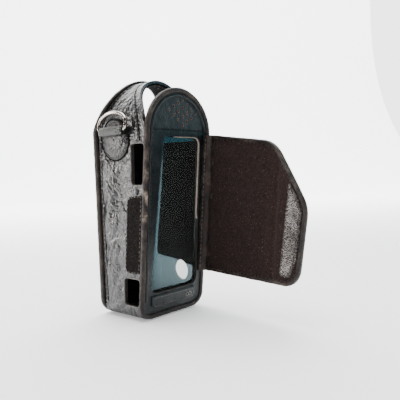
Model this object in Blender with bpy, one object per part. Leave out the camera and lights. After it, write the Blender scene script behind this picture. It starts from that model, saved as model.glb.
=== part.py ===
"""Leather carrying case for a tall hand-held device, standing upright with its cover flap open.

Metres, +Z up.  The origin is the middle of the base, on the surface that the case stands on.
-Y is the front (clear window), +Y the back, -X the side with the D-ring and the side windows.
Four pieces move: the arched tongue over the window, the cover flap on the right front edge,
the flap's tail with the hook tape, and the D-ring.
"""
import math

import bmesh
import bpy
from mathutils import Vector

# ---- driving dimensions -------------------------------------------------------------------
HALF_WIDTH = 0.031          # outside of the side walls
HEIGHT = 0.1745             # top of the arched band
SPRING_Z = 0.138            # where the side walls turn into the arch
BACK_Y = 0.022              # back plane
FRONT_Y = -0.022            # front plane at the base
FRONT_LEAN = math.atan2(0.014, 0.132)   # the front plane leans forward towards the top
CORNER_R = 0.009            # lower corners
GAP = 0.0003                # between neighbouring pieces

LEATHER = 0.0020            # wall and panel leather
LINING = 0.0008             # soft lining
STIFFENER = 0.0010          # board inside the back
BACK_TOP = 0.1385           # the back panel's straight top edge
RIM_IN = 0.0017             # how far the rolled rims reach inside the case outline
RIM_OUT = 0.0020            # and how far they stand outside it
RIM_BOTTOM = 0.0026         # the rims' own outline stays above the floor
PANEL_INSET = 0.0020        # panels end here, inside the rims

FOLD_S = 0.1366             # height, along the front plane, of the tongue's fold
FOLD_GAP = 0.0012           # bare stretch on each side of that fold
RIM_FOLD_GAP = 0.0016
BACK_SWEEP = 0.021          # the band's back edge comes this far forward at its top
BAND_EDGE_TOP = -0.0165      # Y of the band's front edge at its top
BAND_EDGE_SWEEP = 0.0163     # and how much further forward it is at the spring line
TONGUE_LEAN = math.radians(0.5)
TONGUE_HEIGHT = 0.0290
TONGUE_SPRING = -0.0020

WINDOW_TOP_X = (-0.0160, 0.0232)        # left and right edges of the clear window
WINDOW_LOW_X = (-0.0233, 0.0254)
WINDOW_LOW_S = 0.0186
WINDOW_TOP_S = 0.1325
WINDOW_CORNER = 0.006

FLAP_AXIS_X = 0.0326
FLAP_AXIS_Y = -0.0026       # measured from the front plane
FLAP_SWING = math.radians(98.6)         # from straight out to the right, round to the front
FLAP_START = 0.0032         # the flap's boards begin this far from its fold
TAIL_U = 0.070              # second fold, where the tail begins
TAIL_GAP = 0.0015
FLAP_EDGE = 0.0026          # width of the edge binding outside the felt and leather

RING_CENTRE = Vector((-0.0353, -0.0030, 0.1375))
RING_WIRE_R = 0.0012
RING_HALF = 0.0149          # centre line of the D, half its bar
RING_RISE = 0.0130
RING_LEAN = math.radians(8.0)
LOOP_HALF = 0.0127          # a 25 mm strap holds the ring

HOLE_R = 0.0009
HOLE_ROWS = 4
HOLE_FIRST = (-0.0098, 0.0147)          # leftmost hole, across and up from the fold
HOLE_ROW = (0.00447, -0.00343)          # step from one slanting row to the next
HOLE_COLUMN = (0.00484, 0.00267)        # step along a row

# ---- scene helpers --------------------------------------------------------------------------


def clear_scene():
    for old in list(bpy.data.objects):
        bpy.data.objects.remove(old, do_unlink=True)


def make_material(name, colour, roughness, metallic=0.0, alpha=1.0):
    material = bpy.data.materials.new(name)
    material.use_nodes = True
    shader = material.node_tree.nodes["Principled BSDF"]
    shader.inputs["Base Color"].default_value = (*colour, 1.0)
    shader.inputs["Roughness"].default_value = roughness
    shader.inputs["Metallic"].default_value = metallic
    shader.inputs["Alpha"].default_value = alpha
    return material


def make_empty(name, location, rotation=(0.0, 0.0, 0.0), parent=None):
    empty = bpy.data.objects.new(name, None)
    bpy.context.scene.collection.objects.link(empty)
    empty.location = location
    empty.rotation_mode = "XYZ"
    empty.rotation_euler = rotation
    empty.parent = parent
    return empty


def add_object(name, bm, material, parent=None, turn=0.0):
    """Link a closed mesh as the object of one sub-part."""
    bmesh.ops.remove_doubles(bm, verts=bm.verts, dist=1e-6)
    bmesh.ops.recalc_face_normals(bm, faces=bm.faces)
    mesh = bpy.data.meshes.new(name)
    bm.to_mesh(mesh)
    bm.free()
    mesh.materials.append(material)
    mesh.shade_smooth()
    mesh.set_sharp_from_angle(angle=math.radians(40.0))
    piece = bpy.data.objects.new(name, mesh)
    bpy.context.scene.collection.objects.link(piece)
    piece.rotation_euler = (0.0, 0.0, turn)
    piece.parent = parent
    return piece


# ---- outlines, as (across, up) points running anticlockwise ---------------------------------


def arc(centre, radius, start, end, count):
    """Points of a round arc; the angles are in degrees."""
    angles = [math.radians(start + (end - start) * i / count) for i in range(count + 1)]
    return [(centre[0] + radius * math.cos(a), centre[1] + radius * math.sin(a)) for a in angles]


def low_path(half, bottom, corner, top):
    """Down the left side, round the two lower corners and up the right side."""
    left = arc((-half + corner, bottom + corner), corner, 180, 270, 6)
    right = arc((half - corner, bottom + corner), corner, 270, 360, 6)
    return [(-half, top)] + left + right + [(half, top)]


def over_path(half, spring, top, count=30, floor=None):
    """Over the arch from right to left, from the spring line or from a floor above it."""
    start = 0.0 if floor is None else math.asin((floor - spring) / (top - spring))
    angles = [start + (math.pi - 2.0 * start) * i / count for i in range(count + 1)]
    return [(half * math.cos(a), spring + (top - spring) * math.sin(a)) for a in angles]


def case_outline():
    low = low_path(HALF_WIDTH, RIM_BOTTOM, CORNER_R, SPRING_Z)
    return low[:-1] + over_path(HALF_WIDTH, SPRING_Z, HEIGHT)[:-1]


def rounded(corners, count=5):
    """A polygon whose corners (x, y, radius) are rounded."""
    points = []
    for i, (x, y, radius) in enumerate(corners):
        here = Vector((x, y))
        before = Vector(corners[i - 1][:2]) - here
        after = Vector(corners[(i + 1) % len(corners)][:2]) - here
        if radius == 0.0:
            points.append((x, y))
            continue
        half = before.angle(after) / 2.0
        middle = here + (before.normalized() + after.normalized()).normalized() * radius / math.sin(half)
        first = here + before.normalized() * radius / math.tan(half) - middle
        last = here + after.normalized() * radius / math.tan(half) - middle
        sweep = first.angle_signed(last)
        for step in range(count + 1):
            angle = -sweep * step / count
            turned = Vector((first.x * math.cos(angle) - first.y * math.sin(angle),
                             first.x * math.sin(angle) + first.y * math.cos(angle)))
            points.append(tuple(middle + turned))
    return points


def path_normals(points, closed):
    """Outward direction at each point of an anticlockwise path, long enough to keep widths."""
    normals = []
    count = len(points)
    for i in range(count):
        sides = []
        for a, b in ((i - 1, i), (i, i + 1)):
            if closed or (a >= 0 and b < count):
                along = Vector(points[b % count]) - Vector(points[a % count])
                sides.append(Vector((along.y, -along.x)).normalized())
        middle = sum(sides, Vector((0.0, 0.0))).normalized()
        normals.append(middle / max(middle.dot(sides[0]), 0.5))
    return normals


def grow(points, distance):
    """Move a closed outline outwards, or inwards when the distance is negative."""
    shifts = path_normals(points, True)
    return [(x + n.x * distance, z + n.y * distance) for (x, z), n in zip(points, shifts)]


# ---- solids -----------------------------------------------------------------------------------


def plate_mesh(outline, holes, y_low, y_high):
    """A flat plate between two Y values, from an outline with holes through it."""
    bm = bmesh.new()
    for loop in [outline] + holes:
        verts = [bm.verts.new((x, y_low, z)) for x, z in loop]
        for i, vert in enumerate(verts):
            bm.edges.new((verts[i - 1], vert))
    bmesh.ops.triangle_fill(bm, use_beauty=True, edges=bm.edges[:])
    grown = bmesh.ops.extrude_face_region(bm, geom=bm.faces[:])
    moved = [item for item in grown["geom"] if isinstance(item, bmesh.types.BMVert)]
    bmesh.ops.translate(bm, verts=moved, vec=(0.0, y_high - y_low, 0.0))
    return bm


def loft_mesh(rings, closed):
    """Skin a row of equal rings of points; an open row gets end caps."""
    bm = bmesh.new()
    loops = [[bm.verts.new(point) for point in ring] for ring in rings]
    size = len(loops[0])
    for i in range(len(loops) if closed else len(loops) - 1):
        first, second = loops[i], loops[(i + 1) % len(loops)]
        for j in range(size):
            k = (j + 1) % size
            bm.faces.new((first[j], first[k], second[k], second[j]))
    if not closed:
        bm.faces.new(loops[0])
        bm.faces.new(loops[-1])
    return bm


def soft_box(d_low, d_high, y_low, y_high, cut):
    """Section of a rolled edge: a box with its corners taken off, as (outward, y) points."""
    return [(d_low, y_low + cut), (d_low + cut, y_low), (d_high - cut, y_low), (d_high, y_low + cut),
            (d_high, y_high - cut), (d_high - cut, y_high), (d_low + cut, y_high), (d_low, y_high - cut)]


def sweep_mesh(path, section, closed, shift_of=lambda z: 0.0):
    """Carry one section of (outward, y) points along a path, shifted in y by a height rule."""
    rings = []
    for (x, z), n in zip(path, path_normals(path, closed)):
        rings.append([(x + n.x * d, y + shift_of(z), z + n.y * d) for d, y in section])
    return loft_mesh(rings, closed)


def wall_mesh(path, thickness, front_of, back_of):
    """A wall that follows an open path and reaches between a front and a back edge rule."""
    rings = []
    for (x, z), n in zip(path, path_normals(path, False)):
        front, back = front_of(z), back_of(z)
        inner_x = x - n.x * thickness
        inner_z = z - n.y * thickness
        rings.append([(x, front, z), (x, back, z), (inner_x, back, inner_z), (inner_x, front, inner_z)])
    return loft_mesh(rings, False)


def cut_away(bm, point, direction):
    """Cut a closed mesh at a plane, drop what lies in the given direction and close the cut."""
    bmesh.ops.bisect_plane(bm, geom=bm.verts[:] + bm.edges[:] + bm.faces[:], dist=1e-7,
                           plane_co=point, plane_no=direction, clear_outer=True)
    bmesh.ops.holes_fill(bm, edges=[edge for edge in bm.edges if edge.is_boundary])
    return bm


def flap_part(bm):
    """The stretch of a flap layer between the flap's fold and the tail's fold."""
    cut_away(bm, (TAIL_U - TAIL_GAP, 0.0, 0.0), (1.0, 0.0, 0.0))
    return cut_away(bm, (FLAP_START, 0.0, 0.0), (-1.0, 0.0, 0.0))


def tail_part(bm):
    """The stretch beyond the tail's fold, moved to have its origin on that fold."""
    cut_away(bm, (TAIL_U + TAIL_GAP, 0.0, 0.0), (-1.0, 0.0, 0.0))
    bmesh.ops.translate(bm, verts=bm.verts, vec=(-TAIL_U, 0.0, 0.0))
    return bm


# ---- edges of the side walls --------------------------------------------------------------------


def front_edge(z, behind=LEATHER + 0.0002 + GAP):
    """Y of the leaning front plane at a height, moved back by the panel in front of it."""
    return FRONT_Y + behind / math.cos(FRONT_LEAN) - z * math.tan(FRONT_LEAN)


def band_edge(z):
    """Front edge of the arched band, which draws back towards its top."""
    rise = min(max((z - SPRING_Z) / (HEIGHT - SPRING_Z), 0.0), 1.0)
    return BAND_EDGE_TOP - BAND_EDGE_SWEEP * (1.0 - rise * rise) ** 2


def back_shift(z):
    """How far forward the band's back edge and its rim have come at a height."""
    rise = min(max((z - SPRING_Z) / (HEIGHT - SPRING_Z), 0.0), 1.0)
    return -BACK_SWEEP * rise ** 1.15


# ---- the parts ------------------------------------------------------------------------------------


def build_back(mats):
    """The flat back ends at the spring line; above it the back is open under the band."""
    def panel(inset, y_front, thickness):
        half = HALF_WIDTH - inset
        low = low_path(half, RIM_BOTTOM + inset, CORNER_R - inset, BACK_TOP - 0.003)
        outline = low + [(half - 0.003, BACK_TOP), (-half + 0.003, BACK_TOP)]
        return plate_mesh(outline, [], y_front, y_front + thickness)

    stiffener_front = BACK_Y - LEATHER - GAP - STIFFENER
    lining_front = stiffener_front - GAP - LINING
    add_object("back_panel", panel(PANEL_INSET, BACK_Y - LEATHER, LEATHER), mats["leather"])
    add_object("back_stiffener", panel(0.0034, stiffener_front, STIFFENER), mats["board"])
    add_object("back_lining", panel(0.0034, lining_front, LINING), mats["felt"])
    section = soft_box(-RIM_IN, RIM_OUT, BACK_Y - 0.0035, BACK_Y + 0.0008, 0.0012)
    add_object("back_rim", sweep_mesh(case_outline(), section, True, back_shift), mats["rim"])


def build_walls(mats):
    back = BACK_Y - 0.0035 - GAP
    low = CORNER_R + GAP
    high = SPRING_Z - GAP
    outline = [(front_edge(low), low), (back, low), (back, high), (band_edge(high), high),
               (front_edge(0.132), 0.132)]

    def window(rear, z_low, z_high, corner, edge):
        return rounded([(front_edge(z_low) + edge, z_low, corner), (rear, z_low, corner),
                        (rear - (z_high - z_low) * 0.04, z_high, corner),
                        (front_edge(z_high) + edge, z_high, corner)], 4)

    def windows(edge):
        return [window(-0.0176, 0.0980, 0.1270, 0.0022, edge), window(-0.0045, 0.0105, 0.0305, 0.0022, edge)]

    round_hole = arc((-0.0040, 0.0265), 0.0082, 0, 345, 23)
    inner_back = BACK_Y - LEATHER - STIFFENER - LINING - 3.0 * GAP
    lining = [(front_edge(low) + 0.0016, low), (inner_back, low), (inner_back, high),
              (band_edge(high) + 0.0006, high), (front_edge(0.132) + 0.0016, 0.132)]
    quarter = math.radians(90.0)
    inside = HALF_WIDTH - LEATHER - GAP
    cuts = (("left", 1.0, windows(0.0006), windows(0.0026)), ("right", -1.0, [round_hole], [round_hole]))
    for side, sign, holes, lining_holes in cuts:
        faces = sorted((sign * HALF_WIDTH, sign * (HALF_WIDTH - LEATHER)))
        add_object(side + "_gusset", plate_mesh(outline, holes, *faces), mats["gusset"], turn=quarter)
        faces = sorted((sign * inside, sign * (inside - LINING)))
        trimmed = [grow(hole, 0.0003) for hole in lining_holes]
        add_object(side + "_lining", plate_mesh(lining, trimmed, *faces), mats["felt"], turn=quarter)

    over = over_path(HALF_WIDTH, SPRING_Z, HEIGHT)
    add_object("top_band", wall_mesh(over, LEATHER, band_edge, lambda z: back + back_shift(z)), mats["gusset"])
    under = over_path(inside, SPRING_Z, HEIGHT - LEATHER - GAP)
    add_object("band_lining", wall_mesh(under, LINING, lambda z: band_edge(z) + 0.0006,
                                        lambda z: inner_back + back_shift(z)), mats["felt"])
    half = HALF_WIDTH - CORNER_R
    floor = [(-half, 0.0), (half, 0.0), (half, LEATHER), (-half, LEATHER)]
    add_object("base_plate", plate_mesh(floor, [], front_edge(0.0), back), mats["gusset"])
    radius = CORNER_R - GAP
    for side, sign, start in (("left", -1.0, 180), ("right", 1.0, 270)):
        bend = arc((sign * (HALF_WIDTH - radius), CORNER_R), radius, start, start + 90, 6)
        corner = wall_mesh(bend, LEATHER, front_edge, lambda z: back)
        add_object(side + "_corner", corner, mats["gusset"])
    pad_half = HALF_WIDTH - CORNER_R - 0.0005
    pad_z = LEATHER + GAP
    pad = [(-pad_half, pad_z), (pad_half, pad_z), (pad_half, pad_z + 0.0010), (-pad_half, pad_z + 0.0010)]
    add_object("base_pad", plate_mesh(pad, [], front_edge(0.0) + 0.0016, inner_back), mats["felt"])


def window_outline(margin):
    top = WINDOW_TOP_S + min(margin, 0.0022)
    low = WINDOW_LOW_S - margin
    corner = WINDOW_CORNER + max(margin, 0.0) * 0.5
    return rounded([(WINDOW_LOW_X[0] - margin, low, corner), (WINDOW_LOW_X[1] + margin, low, corner),
                    (WINDOW_TOP_X[1] + margin, top, corner), (WINDOW_TOP_X[0] - margin, top, corner)])


def build_front(mats, plane):
    thick = LEATHER + 0.0002
    half = HALF_WIDTH - PANEL_INSET
    top = FOLD_S - FOLD_GAP
    outline = low_path(half, RIM_BOTTOM + PANEL_INSET, CORNER_R - PANEL_INSET, top)
    add_object("front_frame", plate_mesh(outline, [window_outline(0.0)], 0.0, thick), mats["front"], plane)
    pane_y = thick + GAP
    add_object("window_vinyl", plate_mesh(window_outline(0.0016), [], pane_y, pane_y + 0.0008),
               mats["vinyl"], plane)
    ring_y = pane_y + 0.0008 + GAP
    add_object("window_backing", plate_mesh(window_outline(0.0020), [window_outline(-0.0008)],
                                            ring_y, ring_y + LINING), mats["felt"], plane)
    rim = low_path(HALF_WIDTH, RIM_BOTTOM, CORNER_R, FOLD_S - RIM_FOLD_GAP)
    section = soft_box(-RIM_IN, RIM_OUT, -0.0012, thick, 0.0010)
    add_object("front_rim", sweep_mesh(rim, section, False), mats["rim"], plane)
    strip = rounded([(-0.0225, 0.0085, 0.003), (0.0225, 0.0085, 0.003),
                     (0.0225, 0.0172, 0.001), (-0.0225, 0.0172, 0.001)])
    slots = [arc((x, 0.0120), 0.0009, 0, 315, 7) for x in (0.0140, 0.0172)]
    add_object("lower_strip", plate_mesh(strip, slots, -0.0012, -GAP), mats["front"], plane)
    root = [(0.0262, 0.029), (half - GAP, 0.029), (half - GAP, 0.1340), (0.0262, 0.1340)]
    add_object("flap_root_strip", plate_mesh(root, [], -0.0012, -GAP), mats["front"], plane)


def build_tongue(mats, hinge):
    """The arched upper front: its own origin is the middle of the fold."""
    y_front = -0.5 * LEATHER - 0.0001
    y_back = -y_front
    inset = PANEL_INSET
    panel = over_path(HALF_WIDTH - inset, TONGUE_SPRING, TONGUE_HEIGHT - inset, 26, FOLD_GAP)
    holes = []
    for row in range(HOLE_ROWS):
        for column in range(HOLE_ROWS):
            across = HOLE_FIRST[0] + row * HOLE_ROW[0] + column * HOLE_COLUMN[0]
            up = HOLE_FIRST[1] + row * HOLE_ROW[1] + column * HOLE_COLUMN[1]
            holes.append(arc((across, up), HOLE_R, 0, 324, 9))
    add_object("tongue_panel", plate_mesh(panel, holes, y_front, y_back), mats["front"], hinge)
    inset = PANEL_INSET + 0.0016
    lining = over_path(HALF_WIDTH - inset, TONGUE_SPRING, TONGUE_HEIGHT - inset, 26, FOLD_GAP)
    add_object("tongue_lining", plate_mesh(lining, holes, y_back + GAP, y_back + GAP + LINING),
               mats["felt"], hinge)
    rim = over_path(HALF_WIDTH, TONGUE_SPRING, TONGUE_HEIGHT, 26, RIM_FOLD_GAP)
    section = soft_box(-RIM_IN, RIM_OUT, y_front - 0.0012, y_back, 0.0010)
    add_object("tongue_rim", sweep_mesh(rim, section, False), mats["rim"], hinge)


def flap_outline():
    """The whole flap, from its fold at u = 0 to the tail's end, as (u, v) points."""
    return rounded([(0.0, 0.0285, 0.0), (0.0930, 0.0370, 0.014), (0.0968, 0.0915, 0.011),
                    (0.0650, 0.1326, 0.012), (0.0, 0.1344, 0.0)], 8)


def build_flap(mats, flap, tail):
    outline = flap_outline()
    board = grow(outline, -FLAP_EDGE - GAP)
    layers = (("felt", -0.0004, 0.0008, mats["felt"]), ("leather", 0.0011, 0.0022, mats["flap"]))
    for word, y_low, y_high, material in layers:
        add_object("flap_" + word, flap_part(plate_mesh(board, [], y_low, y_high)), material, flap)
        add_object("tail_" + word, tail_part(plate_mesh(board, [], y_low, y_high)), material, tail)
    section = soft_box(-FLAP_EDGE, 0.0, -0.0008, 0.0026, 0.0008)
    middle = (0.0, 0.0, 0.080)
    for word, away in (("top", (0.0, 0.0, -1.0)), ("bottom", (0.0, 0.0, 1.0))):
        bm = cut_away(flap_part(sweep_mesh(outline, section, False)), middle, away)
        add_object("flap_binding_" + word, bm, mats["rim"], flap)
    add_object("tail_binding", tail_part(sweep_mesh(outline, section, False)), mats["rim"], tail)
    tape = rounded([(0.0075, 0.0440, 0.002), (0.0150, 0.0430, 0.003), (0.0203, 0.0560, 0.006),
                    (0.0226, 0.0880, 0.005), (0.0152, 0.1000, 0.002), (0.0098, 0.1060, 0.002)], 4)
    add_object("hook_strip", plate_mesh(tape, [], -0.0019, -0.0007), mats["tape"], tail)


def build_side(mats):
    """Loop patch, round tab and the folded strap that holds the D-ring, on the left wall."""
    quarter = math.radians(90.0)
    face = HALF_WIDTH + GAP
    patch = rounded([(front_edge(0.0345) + 0.0008, 0.0345, 0.002), (front_edge(0.0345) + 0.0166, 0.0345, 0.004),
                     (front_edge(0.0895) + 0.0166, 0.0895, 0.005), (front_edge(0.0910) + 0.0008, 0.0910, 0.002)])
    add_object("loop_patch", plate_mesh(patch, [], face, face + 0.0012), mats["tape"], turn=quarter)
    disc = arc((RING_CENTRE.y + 0.0015, 0.1310), 0.0148, 0, 350, 35)
    add_object("ring_patch", plate_mesh(disc, [], face, face + 0.0012), mats["gusset"], turn=quarter)
    x_in = -(face + 0.0012 + GAP)
    x_out = RING_CENTRE.x - 0.0025
    low = RING_CENTRE.z - 0.0036
    high = RING_CENTRE.z + 0.0027
    strap = rounded([(x_out, low, 0.0012), (x_in, low, 0.0004), (x_in, high, 0.0012),
                     (x_out, high, 0.0022)], 4)
    tunnel = arc((RING_CENTRE.x, RING_CENTRE.z), RING_WIRE_R + 0.00035, 0, 342, 19)
    add_object("ring_loop", plate_mesh(strap, [tunnel], RING_CENTRE.y - LOOP_HALF,
                                       RING_CENTRE.y + LOOP_HALF), mats["strap"])


def build_ring(mats, hinge):
    """The D: its straight bar lies on the hinge, its bow stands up and leans on the wall."""
    corner = 0.0030
    bow = [(RING_HALF * math.cos(a), 0.0045 + (RING_RISE - 0.0045) * math.sin(a))
           for a in (math.pi * i / 24 for i in range(25))]
    path = arc((-RING_HALF + corner, corner), corner, 180, 270, 5)
    path += arc((RING_HALF - corner, corner), corner, 270, 360, 5) + bow
    wire = [(RING_WIRE_R * math.cos(a), RING_WIRE_R * math.sin(a))
            for a in (2.0 * math.pi * i / 12 for i in range(12))]
    add_object("d_ring", sweep_mesh(path, wire, True), mats["chrome"], hinge, math.radians(90.0))


def main():
    clear_scene()
    mats = {
        "leather": make_material("black_leather", (0.020, 0.019, 0.019), 0.42),
        "gusset": make_material("soft_shiny_leather", (0.030, 0.028, 0.028), 0.30),
        "front": make_material("blue_black_leather", (0.022, 0.034, 0.040), 0.40),
        "flap": make_material("flap_leather", (0.026, 0.023, 0.023), 0.38),
        "rim": make_material("bound_edge_leather", (0.034, 0.029, 0.027), 0.36),
        "strap": make_material("strap_leather", (0.045, 0.050, 0.045), 0.38),
        "felt": make_material("brown_black_felt", (0.018, 0.014, 0.013), 0.95),
        "board": make_material("fibre_board", (0.050, 0.042, 0.035), 0.85),
        "tape": make_material("hook_and_loop_tape", (0.016, 0.015, 0.015), 0.90),
        "vinyl": make_material("clear_vinyl", (0.80, 0.84, 0.84), 0.08, 0.0, 0.30),
        "chrome": make_material("chromed_wire", (0.62, 0.61, 0.60), 0.22, 1.0),
    }
    plane = make_empty("front_plane", (0.0, FRONT_Y, 0.0), (FRONT_LEAN, 0.0, 0.0))
    tongue = make_empty("tongue_fold", (0.0, 0.5 * LEATHER + 0.0001, FOLD_S),
                        (TONGUE_LEAN - FRONT_LEAN, 0.0, 0.0), plane)
    flap = make_empty("flap_fold", (FLAP_AXIS_X, FLAP_AXIS_Y, 0.0), (0.0, 0.0, -FLAP_SWING), plane)
    tail = make_empty("tail_fold", (TAIL_U, 0.0, 0.0), parent=flap)
    ring = make_empty("ring_bar", RING_CENTRE, (0.0, RING_LEAN, 0.0))
    build_back(mats)
    build_walls(mats)
    build_front(mats, plane)
    build_tongue(mats, tongue)
    build_flap(mats, flap, tail)
    build_side(mats)
    build_ring(mats, ring)


main()
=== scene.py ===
"""Looks of the leather carrying case: materials, stitching, wrinkles, light and camera."""
import math
import random

import bmesh
import bpy
from mathutils import Matrix, Vector, noise


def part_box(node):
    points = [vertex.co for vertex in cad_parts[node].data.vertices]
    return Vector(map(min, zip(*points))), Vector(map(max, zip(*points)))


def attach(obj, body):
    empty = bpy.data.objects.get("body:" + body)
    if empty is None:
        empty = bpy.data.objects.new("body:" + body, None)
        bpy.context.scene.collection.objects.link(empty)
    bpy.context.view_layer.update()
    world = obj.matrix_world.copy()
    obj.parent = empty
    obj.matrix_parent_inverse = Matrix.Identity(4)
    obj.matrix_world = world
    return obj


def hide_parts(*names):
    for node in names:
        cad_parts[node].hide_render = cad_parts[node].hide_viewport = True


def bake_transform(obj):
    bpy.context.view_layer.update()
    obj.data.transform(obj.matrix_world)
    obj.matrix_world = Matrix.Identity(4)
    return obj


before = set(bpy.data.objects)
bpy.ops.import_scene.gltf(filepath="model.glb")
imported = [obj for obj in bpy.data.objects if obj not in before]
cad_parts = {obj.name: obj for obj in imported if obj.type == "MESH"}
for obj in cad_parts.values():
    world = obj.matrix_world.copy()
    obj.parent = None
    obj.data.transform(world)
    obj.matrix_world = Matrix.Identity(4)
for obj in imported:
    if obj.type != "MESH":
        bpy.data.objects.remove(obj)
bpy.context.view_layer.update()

# ---- dimensions in metres, read from the frame where it has them ----
HALF = -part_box("left_gusset")[0].x
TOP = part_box("top_band")[1].z
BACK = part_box("back_panel")[1].y
FRONT = -0.022
LEAN = math.atan2(0.014, 0.132)
TONGUE_LEAN = math.radians(0.5)
FOLD_S = 0.1366
FOLD_ROUND = 0.0040
SPRING = 0.138
CORNER = 0.009
LEATHER = 0.0020
LINING_OUT = 0.0023
LINING_IN = 0.0031
RIM_LOW = 0.0026
TONGUE_SPRING = 0.1346
TONGUE_TOP = 0.1656
SHELL_BACK = BACK - 0.0038
BACK_TOP = 0.1385
WINDOW_LOW, WINDOW_HIGH = 0.0186, 0.1325

# openings in the side walls: rear edge, lowest, highest and corner radius; centre and radius
UPPER_WINDOW = (-0.0176, 0.0980, 0.1270, 0.0022)
LOWER_WINDOW = (-0.0045, 0.0105, 0.0305, 0.0022)
SIDE_HOLE, SIDE_HOLE_RADIUS = (-0.0040, 0.0265), 0.0082

# stitched seams on the walls, behind their front edge and in front of their rear edge
FRONT_SEAM, BACK_SEAM = 0.0062, 0.0030

# the flap: u runs along it from its fold, y through it and v up
FRONT_PLANE = Matrix.Translation((0.0, FRONT, 0.0)) @ Matrix.Rotation(LEAN, 4, "X")
FLAP_FOLD = (0.0326, -0.0026, 0.0)
FLAP_OPEN = math.radians(-98.6)
FLAP = FRONT_PLANE @ Matrix.Translation(FLAP_FOLD) @ Matrix.Rotation(FLAP_OPEN, 4, "Z")
FLAP_LOW, FLAP_HIGH = 0.0285, 0.1344
FLAP_SHRINK = 0.0020
TAIL_U = 0.070
JOIN_U = 0.0672

LEFT = Vector((-1.0, 0.0, 0.0))
BACKWARD = Vector((0.0, 1.0, 0.0))
FRONT_OUT = Vector((0.0, -math.cos(LEAN), -math.sin(LEAN)))
FLAP_OUT = FLAP.to_3x3() @ Vector((0.0, -1.0, 0.0))

# edges on the soft wall leather are only sharp beyond this angle
WALL_SHARP = 78.0

CAMERA_AT = (-0.2736, -0.2986, 0.107)
CAMERA_TURN, CAMERA_DIP, CAMERA_ROLL = math.radians(48.2), math.radians(3.3), math.radians(-2.1)
CAMERA_LENS = 46.8


# ---- small maths ----
def smooth(t):
    t = min(max(t, 0.0), 1.0)
    return t * t * (3.0 - 2.0 * t)


def mix(a, b, t):
    return a + (b - a) * t


def hump(t):
    """1 in the middle of -1..1 and 0 outside it."""
    return smooth(1.0 - abs(t))


def lumps(point, size, seed=0.0):
    """Soft noise, -1..1, with features of the given size."""
    return noise.noise(Vector(point) / size + Vector((seed, seed * 1.7, -seed)))


def creases(point, size, seed=0.0):
    """Thin valleys between rounded folds, -1 at their bottom and 0 elsewhere."""
    return -(1.0 - min(abs(lumps(point, size, seed)) * 3.2, 1.0)) ** 2


# ---- outlines ----
def arc(centre, radius, start, end, count):
    angles = [math.radians(mix(start, end, i / count)) for i in range(count + 1)]
    return [(centre[0] + radius * math.cos(a), centre[1] + radius * math.sin(a)) for a in angles]


def circle(centre, radius, count):
    """Points all the way round a circle, the last one short of the first."""
    angles = [2.0 * math.pi * i / count for i in range(count)]
    return [(centre[0] + radius * math.cos(a), centre[1] + radius * math.sin(a)) for a in angles]


def low_path(half, bottom, corner, top):
    left = arc((-half + corner, bottom + corner), corner, 180, 270, 9)
    right = arc((half - corner, bottom + corner), corner, 270, 360, 9)
    return [(-half, top)] + left + right + [(half, top)]


def over_path(half, spring, top, count=60):
    angles = [math.pi * i / count for i in range(count + 1)]
    return [(half * math.cos(a), spring + (top - spring) * math.sin(a)) for a in angles]


def rounded(corners, count=6):
    """A polygon whose corners (x, y, radius) are rounded."""
    points = []
    for i, (x, y, radius) in enumerate(corners):
        here = Vector((x, y))
        before = (Vector(corners[i - 1][:2]) - here).normalized()
        after = (Vector(corners[(i + 1) % len(corners)][:2]) - here).normalized()
        if radius == 0.0:
            points.append((x, y))
            continue
        half = before.angle(after) / 2.0
        middle = here + (before + after).normalized() * radius / math.sin(half)
        first = here + before * radius / math.tan(half) - middle
        last = here + after * radius / math.tan(half) - middle
        sweep = first.angle_signed(last)
        for step in range(count + 1):
            turn = Matrix.Rotation(-sweep * step / count, 2)
            points.append(tuple(middle + turn @ first))
    return points


def resample(points, step, closed):
    """The same line with evenly spaced points, as (point, outward normal, length so far)."""
    loop = [Vector(p) for p in points]
    if closed:
        loop.append(loop[0])
    lengths = [0.0]
    for a, b in zip(loop, loop[1:]):
        lengths.append(lengths[-1] + (b - a).length)
    count = max(round(lengths[-1] / step), 3)
    found = []
    k = 0
    for i in range(count if closed else count + 1):
        target = lengths[-1] * i / count
        while k < len(loop) - 2 and lengths[k + 1] < target:
            k += 1
        t = (target - lengths[k]) / max(lengths[k + 1] - lengths[k], 1e-9)
        found.append(loop[k].lerp(loop[k + 1], min(t, 1.0)))
    result = []
    for i, here in enumerate(found):
        if closed:
            along = found[(i + 1) % len(found)] - found[i - 1]
        else:
            along = found[min(i + 1, len(found) - 1)] - found[max(i - 1, 0)]
        along.normalize()
        result.append((here, Vector((along.y, -along.x)), lengths[-1] * i / count))
    return result


def inset(points, distance, closed=True):
    return [tuple(p - n * distance) for p, n, _ in resample(points, 0.0012, closed)]


# ---- where things are ----
def lean_at(s):
    return mix(LEAN, TONGUE_LEAN, smooth((s - FOLD_S + FOLD_ROUND) / (2.0 * FOLD_ROUND)))


def front_line(step, count=380):
    """The leaning front from the side, as evenly spaced (y, z)."""
    rows = []
    y, z = FRONT, 0.0
    for k in range(count):
        rows.append((y, z))
        angle = lean_at((k + 0.5) * step)
        y -= math.sin(angle) * step
        z += math.cos(angle) * step
    return rows


FRONT_STEP = 0.0005
FRONT_LINE = front_line(FRONT_STEP)


def front_at(x, s, out=0.0):
    """A point on the leaning front: across, up along the leather and out from its face."""
    place = max(s, 0.0) / FRONT_STEP
    k = min(int(place), len(FRONT_LINE) - 2)
    y = mix(FRONT_LINE[k][0], FRONT_LINE[k + 1][0], place - k)
    z = mix(FRONT_LINE[k][1], FRONT_LINE[k + 1][1], place - k)
    angle = lean_at(s)
    return Vector((x, y - math.cos(angle) * out, z - math.sin(angle) * out))


def front_edge(z, behind=0.0025):
    return FRONT + behind / math.cos(LEAN) - z * math.tan(LEAN)


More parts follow.
